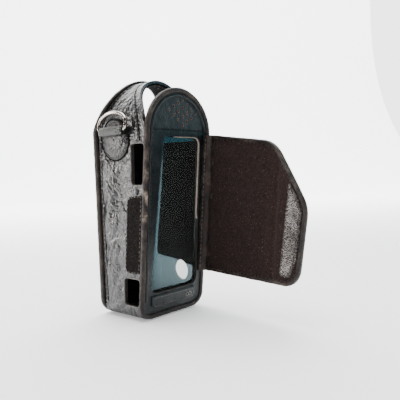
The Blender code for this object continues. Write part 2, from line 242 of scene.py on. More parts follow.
def shell_front(z):
    """Y of the front edge of the side walls and of the arched band."""
    rise = min(max((z - SPRING) / (TOP - SPRING), 0.0), 1.0)
    band = -0.0165 - 0.0163 * (1.0 - rise * rise) ** 2
    return mix(front_edge(min(z, 0.132)), band, smooth((z - 0.132) / 0.006))


def back_shift(z):
    rise = min(max((z - SPRING) / (TOP - SPRING), 0.0), 1.0)
    return -0.021 * rise ** 1.15


def shell_back(z):
    return SHELL_BACK + back_shift(z)


def walls_outline(bottom, spring, top):
    low = low_path(HALF, bottom, CORNER, spring)
    return low[:-1] + over_path(HALF, spring, top)[:-1]


def shell_outline():
    return walls_outline(0.0, SPRING, TOP)


def rim_outline():
    return walls_outline(RIM_LOW, SPRING, TOP)


def front_outline():
    return walls_outline(RIM_LOW, TONGUE_SPRING, TONGUE_TOP)


def window_outline(margin):
    """The clear window's opening, larger by a margin."""
    top = WINDOW_HIGH + min(margin, 0.0022)
    low = WINDOW_LOW - margin
    corner = 0.006 + max(margin, 0.0) * 0.5
    return rounded([(-0.0233 - margin, low, corner), (0.0254 + margin, low, corner),
                    (0.0232 + margin, top, corner), (-0.0160 - margin, top, corner)])


def flap_at(u, y, v):
    """A point on the flap: along from its fold, through its thickness, and up."""
    wave = 0.0006 * lumps((u, 0.3, v), 0.034, 4.0) * smooth((u - 0.004) / 0.02)
    return FLAP @ Vector((u, y + wave, v))


# ---- meshes ----
def make_piece(name, verts, faces, materials, angle=42.0):
    mesh = bpy.data.meshes.new(name)
    mesh.from_pydata([tuple(v) for v in verts], [], faces)
    bm = bmesh.new()
    bm.from_mesh(mesh)
    bmesh.ops.recalc_face_normals(bm, faces=bm.faces)
    bm.to_mesh(mesh)
    bm.free()
    for material in materials:
        mesh.materials.append(material)
    mesh.shade_smooth()
    mesh.set_sharp_from_angle(angle=math.radians(angle))
    piece = bpy.data.objects.new(name, mesh)
    bpy.context.scene.collection.objects.link(piece)
    return piece


def slab(rows, columns, pair, wrap=False):
    """Vertices and faces of a closed solid between two grids; pair(i, j) gives a point of each."""
    pairs = [pair(i, j) for i in range(rows) for j in range(columns)]
    verts = [front for front, _ in pairs] + [back for _, back in pairs]
    shift = rows * columns
    faces = []
    for i in range(rows if wrap else rows - 1):
        k = (i + 1) % rows
        for j in range(columns - 1):
            a, b, c, d = i * columns + j, i * columns + j + 1, k * columns + j + 1, k * columns + j
            faces.append((a, b, c, d))
            faces.append((shift + d, shift + c, shift + b, shift + a))
        for j in (0, columns - 1):
            a, d = i * columns + j, k * columns + j
            faces.append((a, d, shift + d, shift + a))
    if not wrap:
        for i in (0, rows - 1):
            for j in range(columns - 1):
                a = i * columns + j
                faces.append((a, a + 1, shift + a + 1, shift + a))
    return verts, faces


def loft(rings, closed):
    """Vertices and faces of a skin over equal rings of points; an open row gets end caps."""
    size = len(rings[0])
    verts = [p for ring in rings for p in ring]
    faces = []
    for i in range(len(rings) if closed else len(rings) - 1):
        k = (i + 1) % len(rings)
        for j in range(size):
            m = (j + 1) % size
            faces.append((i * size + j, i * size + m, k * size + m, k * size + j))
    if not closed:
        faces.append(tuple(range(size)))
        faces.append(tuple((len(rings) - 1) * size + j for j in range(size)))
    return verts, faces


def prism(low, high):
    return loft([low, high], False)


def join_parts(parts):
    """Several (verts, faces) lists as one."""
    verts, faces = [], []
    for part_verts, part_faces in parts:
        shift = len(verts)
        verts.extend(part_verts)
        faces.extend(tuple(i + shift for i in face) for face in part_faces)
    return verts, faces


def carve(piece, parts, material, angle=42.0):
    """Cut shapes out of a piece for good; the cut faces take the given material."""
    cutter = make_piece(piece.name + "_cutter", *join_parts(parts), [material])
    modifier = piece.modifiers.new("carve", "BOOLEAN")
    modifier.operation = "DIFFERENCE"
    modifier.solver = "EXACT"
    modifier.material_mode = "TRANSFER"
    modifier.object = cutter
    seen = piece.evaluated_get(bpy.context.evaluated_depsgraph_get())
    mesh = bpy.data.meshes.new_from_object(seen)
    piece.modifiers.clear()
    piece.data = mesh
    bpy.data.objects.remove(cutter, do_unlink=True)
    mesh.shade_smooth()
    mesh.set_sharp_from_angle(angle=math.radians(angle))
    return piece


def paint(piece, rule):
    """Store a 0..1 number at every vertex, for the material to read."""
    values = piece.data.attributes.new("wear", "FLOAT", "POINT")
    for vert, item in zip(piece.data.vertices, values.data):
        item.value = min(max(rule(vert.co), 0.0), 1.0)


def blotches(share, size, seed, start):
    """A rule for paint: soft patches of wear of the given strength and size."""
    return lambda c: share * smooth((abs(lumps(c, size, seed)) - start) / 0.3)


def stains(share, size, seed, base, spread):
    """A rule for paint: wear that comes and goes but is seldom absent."""
    return lambda c: share * smooth((base + lumps(c, size, seed)) / spread)


def stand_for(piece, body, nodes, slot):
    """The piece takes the place of CAD nodes on a body."""
    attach(piece, body)
    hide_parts(*nodes)


def rider(name, part, material, body="case"):
    """A piece that rides a body beside the pieces that stand for its CAD nodes."""
    piece = make_piece(name, *part, [material])
    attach(piece, body)
    return piece


def bead_section(d_low, d_high, out_low, out_high, count=14, square=0.62):
    """A rounded box as (outward, out) points."""
    middle = ((d_low + d_high) / 2.0, (out_low + out_high) / 2.0)
    reach = ((d_high - d_low) / 2.0, (out_high - out_low) / 2.0)
    points = []
    for i in range(count):
        a = 2.0 * math.pi * i / count
        c, s = math.cos(a), math.sin(a)
        points.append((middle[0] + reach[0] * math.copysign(abs(c) ** square, c),
                       middle[1] + reach[1] * math.copysign(abs(s) ** square, s)))
    return points


def sweep_on(path, section, closed, place, step=0.0011, ripple=0.00012):
    """Carry a section along an outline; place(x, up, out) puts a point on the object."""
    rings = []
    for p, n, _ in resample(path, step, closed):
        ring = []
        for k, (d, out) in enumerate(section):
            swell = ripple * lumps((p.x, p.y, k * 0.002), 0.0045, 2.0)
            at = p + n * (d + swell)
            ring.append(place(at.x, at.y, out + swell))
        rings.append(ring)
    return loft(rings, closed)


def stitch_run(line, length=0.0021, gap=0.0011, radius=0.00033, lift=0.00016):
    """Thread along a list of (point, outward direction): one small arched bead for each stitch."""
    spots = [Vector(p) for p, _ in line]
    lengths = [0.0]
    for a, b in zip(spots, spots[1:]):
        lengths.append(lengths[-1] + (b - a).length)

    def at(target):
        low, high = 0, len(spots) - 2
        while low < high:
            k = (low + high + 1) // 2
            if lengths[k] <= target:
                low = k
            else:
                high = k - 1
        t = (target - lengths[low]) / max(lengths[low + 1] - lengths[low], 1e-9)
        return spots[low].lerp(spots[low + 1], t), Vector(line[low][1]).lerp(Vector(line[low + 1][1]), t)

    parts = []
    count = int(lengths[-1] / (length + gap))
    for i in range(count):
        start = (i + 0.2 + 0.1 * math.sin(i * 2.3)) * lengths[-1] / count
        rings = []
        for t, share in ((0.0, 0.35), (0.12, 0.85), (0.5, 1.0), (0.88, 0.85), (1.0, 0.35)):
            here, out = at(min(start + length * t, lengths[-1] - 1e-6))
            ahead, _ = at(min(start + length * t + 0.0002, lengths[-1]))
            out = out.normalized()
            along = (ahead - here).normalized()
            side = out.cross(along).normalized()
            centre = here + out * (lift * (4.0 * t * (1.0 - t)) - radius * 0.35)
            ring = []
            for k in range(6):
                a = 2.0 * math.pi * k / 6
                ring.append(centre + (side * math.cos(a) + out * math.sin(a)) * radius * share)
            rings.append(ring)
        parts.append(loft(rings, False))
    return join_parts(parts)


# ---- materials ----
class Nodes:
    """A short way to write a node tree."""

    def __init__(self, name):
        self.material = bpy.data.materials.new(name)
        self.material.use_nodes = True
        self.tree = self.material.node_tree
        self.shader = self.tree.nodes["Principled BSDF"]
        self.place = self.add("ShaderNodeTexCoord").outputs["Object"]

    def add(self, kind, **settings):
        node = self.tree.nodes.new(kind)
        for key, value in settings.items():
            setattr(node, key, value)
        return node

    def link(self, source, target):
        self.tree.links.new(source, target)

    def put(self, target, value):
        if isinstance(value, (int, float, tuple)):
            target.default_value = value
        else:
            self.link(value, target)

    def set(self, **values):
        for key, value in values.items():
            self.put(self.shader.inputs[key.replace("_", " ")], value)

    def maths(self, operation, a, b=0.0):
        node = self.add("ShaderNodeMath", operation=operation)
        self.put(node.inputs[0], a)
        self.put(node.inputs[1], b)
        return node.outputs[0]

    def stretch(self, scale):
        node = self.add("ShaderNodeMapping")
        node.inputs["Scale"].default_value = scale
        self.link(self.place, node.inputs["Vector"])
        return node.outputs[0]

    def noise(self, scale, detail=3.0, rough=0.55, source=None, warp=0.0):
        node = self.add("ShaderNodeTexNoise")
        self.link(source or self.place, node.inputs["Vector"])
        self.put(node.inputs["Scale"], scale)
        self.put(node.inputs["Detail"], detail)
        self.put(node.inputs["Roughness"], rough)
        self.put(node.inputs["Distortion"], warp)
        return node.outputs["Fac"]

    def cells(self, scale, smoothness):
        node = self.add("ShaderNodeTexVoronoi", feature="SMOOTH_F1")
        self.link(self.place, node.inputs["Vector"])
        self.put(node.inputs["Scale"], scale)
        self.put(node.inputs["Smoothness"], smoothness)
        return node.outputs["Distance"]

    def span(self, value, low, high, to_low=0.0, to_high=1.0):
        node = self.add("ShaderNodeMapRange", interpolation_type="SMOOTHSTEP")
        self.put(node.inputs["Value"], value)
        self.put(node.inputs["From Min"], low)
        self.put(node.inputs["From Max"], high)
        self.put(node.inputs["To Min"], to_low)
        self.put(node.inputs["To Max"], to_high)
        return node.outputs[0]

    def blend(self, share, a, b):
        node = self.add("ShaderNodeMix", data_type="RGBA")
        self.put(node.inputs["Factor"], share)
        self.put(node.inputs[6], a)
        self.put(node.inputs[7], b)
        return node.outputs[2]

    def bump(self, height, strength, distance):
        node = self.add("ShaderNodeBump")
        self.put(node.inputs["Strength"], strength)
        self.put(node.inputs["Distance"], distance)
        self.link(height, node.inputs["Height"])
        self.link(node.outputs["Normal"], self.shader.inputs["Normal"])

    def worn(self):
        node = self.add("ShaderNodeAttribute", attribute_name="wear")
        return node.outputs["Fac"]


def colour(red, green, blue):
    """A colour written as 0..255 screen values, as linear light."""
    return tuple(((v / 255.0 + 0.055) / 1.055) ** 2.4 if v > 10 else v / 3294.6
                 for v in (red, green, blue)) + (1.0,)


def leather(name, dark, light, worn=(120, 112, 104), gloss=(0.26, 0.46), grain=1500.0,
            depth=0.00012, crease=0.35, specular=0.5):
    n = Nodes(name)
    pebbles = n.cells(grain, 0.35)
    fine = n.noise(grain * 2.2, 2.0)
    folds = n.noise(210.0, 2.5, 0.5, n.stretch((1.0, 1.0, 0.7)), 0.8)
    broad = n.noise(70.0, 3.0, 0.6)
    height = n.maths("MULTIPLY_ADD", pebbles, -1.0)
    height = n.maths("ADD", height, n.maths("MULTIPLY", fine, 0.1))
    height = n.maths("ADD", height, n.maths("MULTIPLY", folds, 4.0 * crease))
    n.bump(height, 1.0, depth)
    tone = n.maths("ADD", n.maths("MULTIPLY", broad, 0.7), n.maths("MULTIPLY", fine, 0.3))
    base = n.blend(n.span(tone, 0.35, 0.68), colour(*dark), colour(*light))
    rub = n.maths("MULTIPLY", n.worn(), n.span(n.noise(420.0, 5.0, 0.7), 0.36, 0.6))
    base = n.blend(rub, base, colour(*worn))
    rough = n.span(broad, 0.3, 0.7, gloss[0], gloss[1])
    rough = n.maths("ADD", rough, n.maths("MULTIPLY", rub, 0.25))
    n.set(Base_Color=base, Roughness=rough, Specular_IOR_Level=specular)
    return n.material


def fuzzy(name, dark, light, fleck, scale=900.0, fleck_amount=0.74):
    n = Nodes(name)
    fibres = n.noise(scale, 5.0, 0.7, n.stretch((1.0, 1.0, 1.6)), 1.5)
    broad = n.noise(60.0, 3.0)
    base = n.blend(n.span(fibres, 0.32, 0.66), colour(*dark), colour(*light))
    specks = n.span(n.noise(1500.0, 2.0, 0.6), fleck_amount, fleck_amount + 0.05)
    base = n.blend(n.maths("MULTIPLY", specks, 0.75), base, colour(*fleck))
    n.bump(n.maths("ADD", fibres, n.maths("MULTIPLY", broad, 0.6)), 1.0, 0.0005)
    n.set(Base_Color=base, Roughness=0.95, Specular_IOR_Level=0.04)
    n.shader.inputs["Sheen Weight"].default_value = 0.06
    n.shader.inputs["Sheen Roughness"].default_value = 0.5
    return n.material


def raw_edge(name, dark, light):
    n = Nodes(name)
    layers = n.noise(1400.0, 4.0, 0.7)
    n.bump(layers, 0.8, 0.0002)
    n.set(Base_Color=n.blend(n.span(layers, 0.3, 0.7), colour(*dark), colour(*light)), Roughness=0.8)
    return n.material


def thread(name, dark, light):
    n = Nodes(name)
    twist = n.noise(2600.0, 2.0, 0.5)
    n.bump(twist, 0.6, 0.0001)
    n.set(Base_Color=n.blend(n.span(twist, 0.3, 0.7), colour(*dark), colour(*light)), Roughness=0.6)
    return n.material


def clear_sheet(name):
    n = Nodes(name)
    haze = n.noise(45.0, 4.0, 0.6)
    scratch = n.noise(420.0, 4.0, 0.65, n.stretch((1.0, 1.0, 0.10)), 0.4)
    ripple = n.noise(30.0, 2.0, 0.4, n.stretch((1.0, 1.0, 0.45)))
    n.bump(n.maths("ADD", ripple, n.maths("MULTIPLY", scratch, 0.01)), 0.25, 0.0012)
    n.set(Base_Color=n.blend(haze, colour(200, 206, 204), colour(168, 172, 168)),
          Roughness=n.span(scratch, 0.4, 0.8, 0.02, 0.12))
    n.shader.inputs["Transmission Weight"].default_value = 0.975
    n.shader.inputs["IOR"].default_value = 1.52
    n.shader.inputs["Specular Tint"].default_value = (0.42, 0.86, 1.0, 1.0)
    n.shader.inputs["Specular IOR Level"].default_value = 0.75
    n.shader.inputs["Coat Weight"].default_value = 0.08
    n.shader.inputs["Coat Roughness"].default_value = 0.03
    return n.material


def chrome(name):
    n = Nodes(name)
    pits = n.noise(1800.0, 3.0, 0.6)
    tarnish = n.span(n.noise(240.0, 4.0, 0.65), 0.45, 0.7)
    n.bump(pits, 0.15, 0.00008)
    n.set(Base_Color=n.blend(tarnish, colour(178, 172, 166), colour(132, 114, 98)), Metallic=1.0,
          Roughness=n.span(pits, 0.3, 0.7, 0.10, 0.26))
    return n.material


def studio_white(name):
    """White paper, lit from behind where it is far from the object."""
    n = Nodes(name)
    shade = n.noise(3.0, 2.0)
    n.set(Base_Color=n.blend(shade, (0.93, 0.93, 0.935, 1.0), (0.95, 0.95, 0.95, 1.0)), Roughness=0.9)
    reach = n.add("ShaderNodeVectorMath", operation="DOT_PRODUCT")
    n.link(n.place, reach.inputs[0])
    reach.inputs[1].default_value = (0.667, 0.745, 0.0)
    n.shader.inputs["Emission Color"].default_value = (0.98, 0.99, 1.0, 1.0)
    n.link(n.span(reach.outputs["Value"], 0.10, 1.3, 0.30, 4.5), n.shader.inputs["Emission Strength"])
    return n.material


SHINY = leather("soft_shiny_leather", (7, 6, 6), (18, 16, 16), (70, 64, 60), (0.27, 0.32),
                560.0, 0.00048, 0.14, 0.8)
BEAD_SKIN = leather("turned_edge_leather", (24, 22, 21), (52, 48, 46), (104, 98, 92), (0.28, 0.4),
                    1100.0, 0.0002, 0.5, 0.6)
PATCH_SKIN = leather("round_patch_leather", (8, 7, 7), (19, 17, 16), (60, 56, 52), (0.24, 0.36),
                     700.0, 0.00025, 0.4, 0.45)
# black leather with a blue-teal cast: partly its own cool tone, partly a painted teal reflection
FRONT_SKIN_PAINTED_TEAL = leather("blue_black_leather", (5, 10, 12), (12, 20, 23), (36, 40, 40), (0.30, 0.44),
                     1000.0, 0.0003, 0.3, 0.34)
RIM_SKIN = leather("bound_edge_leather", (20, 14, 12), (42, 32, 28), (150, 134, 120), (0.38, 0.54),
                   1000.0, 0.0004, 0.4, 0.26)
PLAIN_SKIN = leather("black_leather", (10, 9, 9), (20, 18, 18), (56, 52, 48), (0.32, 0.5),
                     900.0, 0.0004, 0.5)
STRAP_SKIN = leather("strap_leather", (14, 15, 14), (40, 43, 39), (74, 74, 66), (0.22, 0.36),
                     1100.0, 0.0003, 0.4, 0.5)
FLAP_SKIN = leather("flap_leather", (11, 9, 9), (22, 19, 18), (58, 54, 50), (0.32, 0.5),
                    900.0, 0.0004, 0.5)
FELT = fuzzy("brown_black_felt", (14, 8, 7), (54, 40, 38), (150, 132, 122), 800.0, 0.68)
LINING = fuzzy("dark_brown_lining", (3, 2, 1), (8, 6, 5), (26, 22, 20), 700.0, 0.80)
LOOPS = fuzzy("loop_pile", (8, 7, 6), (46, 41, 39), (96, 90, 86), 620.0, 0.64)
HOOKS = fuzzy("hook_tape", (14, 12, 12), (66, 61, 59), (170, 164, 158), 1000.0, 0.58)
# hooks coloured far paler than the dark tape: their glints are painted into this colour
HOOK_PLASTIC_PAINTED_GLINT = leather("hook_plastic_painted_glints", (150, 143, 138), (250, 243, 238), (220, 214, 208),
                       (0.2, 0.35), 1500.0, 0.0001, 0.3, 0.8)
TAN = raw_edge("tan_cut_edge", (40, 33, 30), (128, 108, 96))
# pale colour for the clear sheet's edge: partly its own cut edge, partly a painted highlight
PALE_EDGE_PAINTED_HIGHLIGHT = raw_edge("sheet_edge_painted_highlight", (104, 94, 86), (186, 170, 156))
EYELET = leather("dark_eyelet", (60, 60, 60), (120, 118, 114), (150, 148, 144), (0.25, 0.4),
                 1500.0, 0.00005, 0.2, 0.8)
DARK_EDGE = raw_edge("dark_cut_edge", (22, 19, 17), (50, 44, 38))
BOARD = raw_edge("fibre_board", (44, 38, 32), (66, 58, 48))
# near-black fuzzy material for beads laid in the seams and round the round patch: painted shade
PAINTED_SEAM_SHADE = fuzzy("seam_shadow", (3, 2, 2), (12, 10, 9), (30, 27, 25), 900.0, 0.80)
GREY_THREAD = thread("grey_thread", (56, 52, 50), (104, 98, 93))
DARK_THREAD = thread("dark_thread", (12, 9, 9), (34, 28, 27))
VINYL = clear_sheet("clear_vinyl")
CHROME = chrome("chromed_wire")
WHITE = studio_white("studio_white")


# ---- side walls and band ----
def shell_wrinkle(x, y, z, depth):
    """How far the soft wall leather stands out at a place; depth runs 0..1 from front to back."""
    # broad swells, then finer ones down to small puckers
    height = 0.00060 * lumps((x, y, z * 0.8), 0.019, 1.0) + 0.00042 * lumps((x, y, z * 0.7), 0.0080, 5.0)
    height += 0.00020 * lumps((x, y + 0.5 * z, z - 0.5 * y), 0.0040, 3.0)
    # slanting creases, and a crumpled area low on the wall
    height += 0.00055 * creases((x, y + 0.4 * z, 0.5 * z), 0.0095, 12.5)
    height += 0.00055 * lumps((x, 0.45 * y, z + 0.35 * y), 0.0058, 31.0) * smooth((0.105 - z) / 0.05)
    # the upright bulge along the middle, and a slanting fold across it
    upright = smooth((z - 0.004) / 0.02) * smooth((0.135 - z) / 0.02)
    height += 0.0015 * hump((y - 0.0085) / 0.0115) * upright
    height += 0.0006 * hump((y + 0.4 * (z - 0.085) - 0.006) / 0.006) * hump((z - 0.075) / 0.03)
    # calmer at the front edge and over the top, flat under the loop patch and the round patch
    height *= (0.35 + 0.65 * smooth((depth - 0.13) / 0.04)) * (1.0 - 0.5 * smooth((z - 0.138) / 0.012))
    height += 0.00018 * lumps((x, y, z), 0.0028, 17.0)
    if x < -0.02:
        height *= 0.25 + 0.75 * smooth((math.hypot(y - PATCH_AT[0], z - PATCH_AT[1]) - 0.0145) / 0.004)
    under_patch = 0.0
    if x <= -0.02 and z <= 0.149:
        under_patch = hump((y - front_edge(z, 0.0095)) / 0.0125) * smooth((z - 0.029) / 0.006)
    edge = smooth(depth / 0.10) * smooth((1.0 - depth) / 0.08)
    corner = smooth((z - 0.0005) / 0.004)
    return height * edge * (1.0 - 0.9 * under_patch) * corner


def shell_part(outline, thick, cells, wrinkled, front_in=0.0, back_in=0.0):
    """A skin of leather or lining round the walls and over the top, inside an outline of (x, z)."""
    places = resample(outline, 0.00075 if wrinkled else 0.0011, True)

    def pair(i, j):
        p, n, _ = places[i]
        first, last = shell_front(p.y) + front_in, shell_back(p.y) - back_in
        t = j / cells
        y = mix(first, last, t)
        h = seam = 0.0
        if wrinkled:
            h = shell_wrinkle(p.x, y, p.y, t)
            seam = 0.0008 * hump((y - first - FRONT_SEAM) / 0.0015)
            seam += 0.0006 * hump((last - BACK_SEAM - y) / 0.0013)
        a, b = p + n * (h - seam), p + n * (0.4 * h - thick)
        return Vector((a.x, y, a.y)), Vector((b.x, y, b.y))

    return slab(len(places), cells + 1, pair, True)


def side_window(rear, z_low, z_high, corner, grow):
    """An opening in the left wall as (y, z), with its front edge along the front's lean."""
    front_gap = 0.0006 - grow
    taper = (z_high - z_low) * 0.04
    return rounded([(front_edge(z_low) + front_gap, z_low - grow, corner),
                    (rear + grow, z_low - grow, corner),
                    (rear - taper + grow, z_high + grow, corner),
                    (front_edge(z_high) + front_gap, z_high + grow, corner)], 5)


def left_windows(grow=0.0):
    return [side_window(*UPPER_WINDOW, grow), side_window(*LOWER_WINDOW, grow)]


def side_cutters(grow=0.0):
    """Shapes of the two windows on the left and of the round hole on the right."""
    hole = arc(SIDE_HOLE, SIDE_HOLE_RADIUS + grow, 0, 350, 35)
    sides = [(window, -0.036, -0.024) for window in left_windows(grow)] + [(hole, 0.024, 0.036)]
    return [prism([(low, y, z) for y, z in outline], [(high, y, z) for y, z in outline])
            for outline, low, high in sides]


def build_shell():
    skin = make_piece("gusset_skin", *shell_part(shell_outline(), LEATHER, 62, True), [SHINY], WALL_SHARP)
    carve(skin, side_cutters(), DARK_EDGE, WALL_SHARP)
    stain = stains(0.3, 0.006, 7.0, 0.2, 0.6)
    paint(skin, lambda c: stain(c) * smooth((-0.016 - c.y) / 0.012))
    stand_for(skin, "case", ["left_gusset", "right_gusset", "top_band", "base_plate", "left_corner",
                             "right_corner"], "gusset_leather")
    inside = inset(shell_outline(), LINING_OUT)
    part = shell_part(inside, 0.0008, 30, False, 0.0008, -0.0002)
    lining = make_piece("inner_lining", *part, [LINING])
    carve(lining, side_cutters(0.0004), DARK_EDGE)
    stand_for(lining, "case", ["left_lining", "right_lining", "band_lining"], "felt")


def on_left_wall(y, z, out):
    return Vector((-HALF - out, y, z))


def on_right_wall(y, z, out):
    return Vector((HALF + out, y, z))


def build_window_beads():
    """The turned edge round the two side windows and the round hole."""
    section = bead_section(-0.0002, 0.0011, -0.0003, 0.0006, 10, 0.8)
    parts = [sweep_on(window, section, True, on_left_wall, 0.0006) for window in left_windows()]
    hole = arc(SIDE_HOLE, SIDE_HOLE_RADIUS, 0, 354, 59)
    parts.append(sweep_on(hole, section, True, on_right_wall, 0.0006))
    beads = rider("side_window_beads", join_parts(parts), BEAD_SKIN)
    paint(beads, stains(0.5, 0.005, 6.0, 0.4, 0.6))


def shell_line(outline, offset_from_front, out, z_low=0.0, back=False):
    """A line round the walls and band at a distance behind their front edge."""
    line = []
    for p, n, _ in resample(outline, 0.0010, True):
        y = shell_back(p.y) - offset_from_front if back else shell_front(p.y) + offset_from_front
        t = (y - shell_front(p.y)) / (shell_back(p.y) - shell_front(p.y))
        h = shell_wrinkle(p.x, y, p.y, t) if abs(out) < 1e-6 else 0.0
        at = p + n * (out + h)
        side = 1.0 if out > -0.001 else -1.0
        line.append((Vector((at.x, y, at.y)), Vector((n.x, 0.0, n.y)) * side, p.y))
    start = min(range(len(line)), key=lambda i: (line[i][2], abs(line[i][0].x)))
    line = line[start:] + line[:start]
    return [(p, n) for p, n, z in line if z >= z_low]


def on_leather(point):
    """True where a seam on the walls has leather under it: off the windows, the hole and the patch."""
    if point.x > 0.02:
        return math.hypot(point.y - SIDE_HOLE[0], point.z - SIDE_HOLE[1]) > 0.0096
    if point.x > -0.02:
        return True
    gaps = left_windows(0.0014) + [loop_outline()]
    return not any(inside_of(gap, point.y, point.z) for gap in gaps)


def seam_runs(line, *sizes):
    """Stitches along a line, left out where there is no leather."""
    runs, part = [], []
    for point, normal in line:
        if on_leather(point):
            part.append((point, normal))
        elif part:
            runs.append(part)
            part = []
    return [stitch_run(run, *sizes) for run in runs + [part] if len(run) > 4]


def build_shell_stitches():
    outer = shell_outline()
    # near-black beads sunk in the seam grooves, front and back: painted shade along the seams
    shade_cords = seam_runs(shell_line(outer, FRONT_SEAM, 0.0, 0.010), 0.0040, 0.0003, 0.00050, -0.0006)
    shade_cords += seam_runs(shell_line(outer, BACK_SEAM, 0.0, 0.010, True), 0.0040, 0.0003, 0.00050, -0.0005)
    rider("wall_seam_painted_shade", join_parts(shade_cords), PAINTED_SEAM_SHADE)
    runs = []
    for offset in (0.0046, 0.0078):
        runs += seam_runs(shell_line(outer, offset, 0.0, 0.010), 0.0022, 0.0009, 0.00026, 0.0001)
    runs.append(stitch_run(shell_line(outer, 0.0015, 0.0, 0.010, True), 0.0024, 0.0010, 0.0003))
    rider("wall_stitches", join_parts(runs), DARK_THREAD)
    inner = inset(shell_outline(), LINING_IN)
    runs = []
    for offset in (0.0034, 0.0080):
        line = shell_line(inner, offset, -0.002, SPRING)
        runs.append(stitch_run([(p - n * 0.0020, n) for p, n in line]))
    rider("band_inner_stitches", join_parts(runs), GREY_THREAD)


# ---- back ----
def back_at(x, z, out):
    return Vector((x, BACK + out + back_shift(z), z))


def build_back_panel():
    rows, cols = 150, 62

    def pair(i, j):
        z = mix(RIM_LOW + 0.0008, BACK_TOP, i / rows)
        low = min(max((z - RIM_LOW) / CORNER, 0.0), 1.0)
        half = HALF - 0.0006 - CORNER * (1.0 - math.sqrt(max(1.0 - (1.0 - low) ** 2, 0.0)))
        x = half * (2.0 * j / cols - 1.0)
        h = 0.00035 * lumps((x, 0.0, z), 0.016, 11.0) + 0.0002 * creases((x, 0.0, z), 0.009, 12.0)
        h *= smooth((half - abs(x)) / 0.006)
        border = 0.00045 * hump((half - abs(x) - 0.0065) / 0.0009)
        return Vector((x, BACK + h - border, z)), Vector((x, BACK - LEATHER, z))

    panel = make_piece("back_skin", *slab(rows + 1, cols + 1, pair), [PLAIN_SKIN])
    paint(panel, blotches(0.5, 0.02, 3.0, 0.3))
    stand_for(panel, "case", ["back_panel"], "panel_leather")


def build_back_stitches():
    outline = low_path(HALF - 0.002, RIM_LOW + 0.002, CORNER - 0.002, BACK_TOP)
    thread_y = BACK + 0.0001
    runs = []
    for margin in (0.0042, 0.0088):
        path = [(x, z) for x, z in inset(outline, margin - 0.002, False) if z < BACK_TOP - margin]
        runs.append(stitch_run([(Vector((x, thread_y, z)), BACKWARD) for x, z in path]))
    across = [(Vector((x / 1000.0, thread_y, BACK_TOP - 0.004)), BACKWARD) for x in range(-26, 27)]
    runs.append(stitch_run(across))
    rider("back_stitches", join_parts(runs), GREY_THREAD)


def build_back():
    build_back_panel()
    build_back_stitches()
    outline = low_path(HALF - 0.0034, RIM_LOW + 0.0034, CORNER - 0.0034, BACK_TOP - 0.003)
    outline += [(HALF - 0.0064, BACK_TOP), (-HALF + 0.0064, BACK_TOP)]
    for name, node, y, thick, material, slot in (
            ("back_board", "back_stiffener", BACK - 0.0033, 0.0010, BOARD, "board"),
            ("back_inside", "back_lining", BACK - 0.0044, 0.0008, LINING, "felt")):
        part = prism([(x, y, z) for x, z in outline], [(x, y + thick, z) for x, z in outline])
        stand_for(make_piece(name, *part, [material]), "case", [node], slot)
    section = bead_section(-0.0017, 0.0020, -0.0035, 0.0009)
    roll = make_piece("back_rim_roll", *sweep_on(rim_outline(), section, True, back_at), [RIM_SKIN])
    paint(roll, blotches(0.14, 0.013, 6.0, 0.2))
    stand_for(roll, "case", ["back_rim"], "rim_leather")


def build_base():
    half = HALF - CORNER - 0.0005
    front, rear = front_edge(0.0) + 0.0016, BACK - 0.0047
    bottom, top = 0.0023, 0.0033

    def pair(i, j):
        x, y = half * (i / 20.0 - 1.0), mix(front, rear, j / 30.0)
        return Vector((x, y, top + 0.00012 * lumps((x, y, 0.0), 0.006, 2.0))), Vector((x, y, bottom))

    piece = make_piece("base_felt", *slab(41, 31, pair), [LINING])
    stand_for(piece, "case", ["base_pad"], "felt")


# ---- front ----
WELT_IN = 0.0036
FOLD_LOW = tuple(front_at(0.0, FOLD_S - 0.0030))
FOLD_HIGH = tuple(front_at(0.0, FOLD_S + 0.0030))


def bend_front(piece, nodes):
    """A front piece baked in place, its shape bent where the tongue leans at the fold; its CAD nodes are
    hidden.
    """
    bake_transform(piece)
    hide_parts(*nodes)


def half_width(s, shrink):
    """Half the width of the front at a height along it, inside the given margin."""
    half = HALF - shrink
    if s < RIM_LOW + CORNER:
        low = min(max((s - RIM_LOW - shrink) / (CORNER - shrink), 0.0), 1.0)
        return half - (CORNER - shrink) * (1.0 - math.sqrt(max(1.0 - (1.0 - low) ** 2, 0.0)))
    if s > TONGUE_SPRING:
        up = min((s - TONGUE_SPRING) / (TONGUE_TOP - shrink - TONGUE_SPRING), 1.0)
        return max(half * math.sqrt(1.0 - up * up), 0.0015)
    return half


def front_relief(x, s):
    edge = half_width(s, 0.0) - abs(x)
    h = 0.00022 * lumps((x, 0.0, s), 0.012, 21.0) + 0.00012 * lumps((x, 0.0, s), 0.005, 22.0)
    h += 0.00016 * creases((x, 0.0, s * 0.7), 0.010, 23.0)
    fold = 0.00050 * hump((s - FOLD_S) / 0.0011)
    return h * smooth(edge / 0.004) - fold


def front_sheet(name, shrink, out, thick, s_low, s_high, relief, material):
    rows = round((s_high - s_low) / 0.0009)

    def pair(i, j):
        s = mix(s_low, s_high, i / rows)
        x = half_width(s, shrink) * (j / 34.0 - 1.0)
        h = front_relief(x, s) if relief else 0.0
        return front_at(x, s, out + h), front_at(x, s, out - thick)

    return make_piece(name, *slab(rows + 1, 69, pair), [material])


def front_prism(outline, out_low, out_high):
    return prism(*([front_at(x, s, out) for x, s in outline] for out in (out_low, out_high)))


def hole_spots():
    spots = []
    for row in range(4):
        for column in range(4):
            across = -0.0098 + 0.00447 * row + 0.00484 * column
            spots.append((across, FOLD_S + 0.0147 - 0.00343 * row + 0.00267 * column))
    return spots


def hole_cutters(radius):
    return [front_prism(arc(spot, radius, 0, 340, 17), -0.006, 0.004) for spot in hole_spots()]


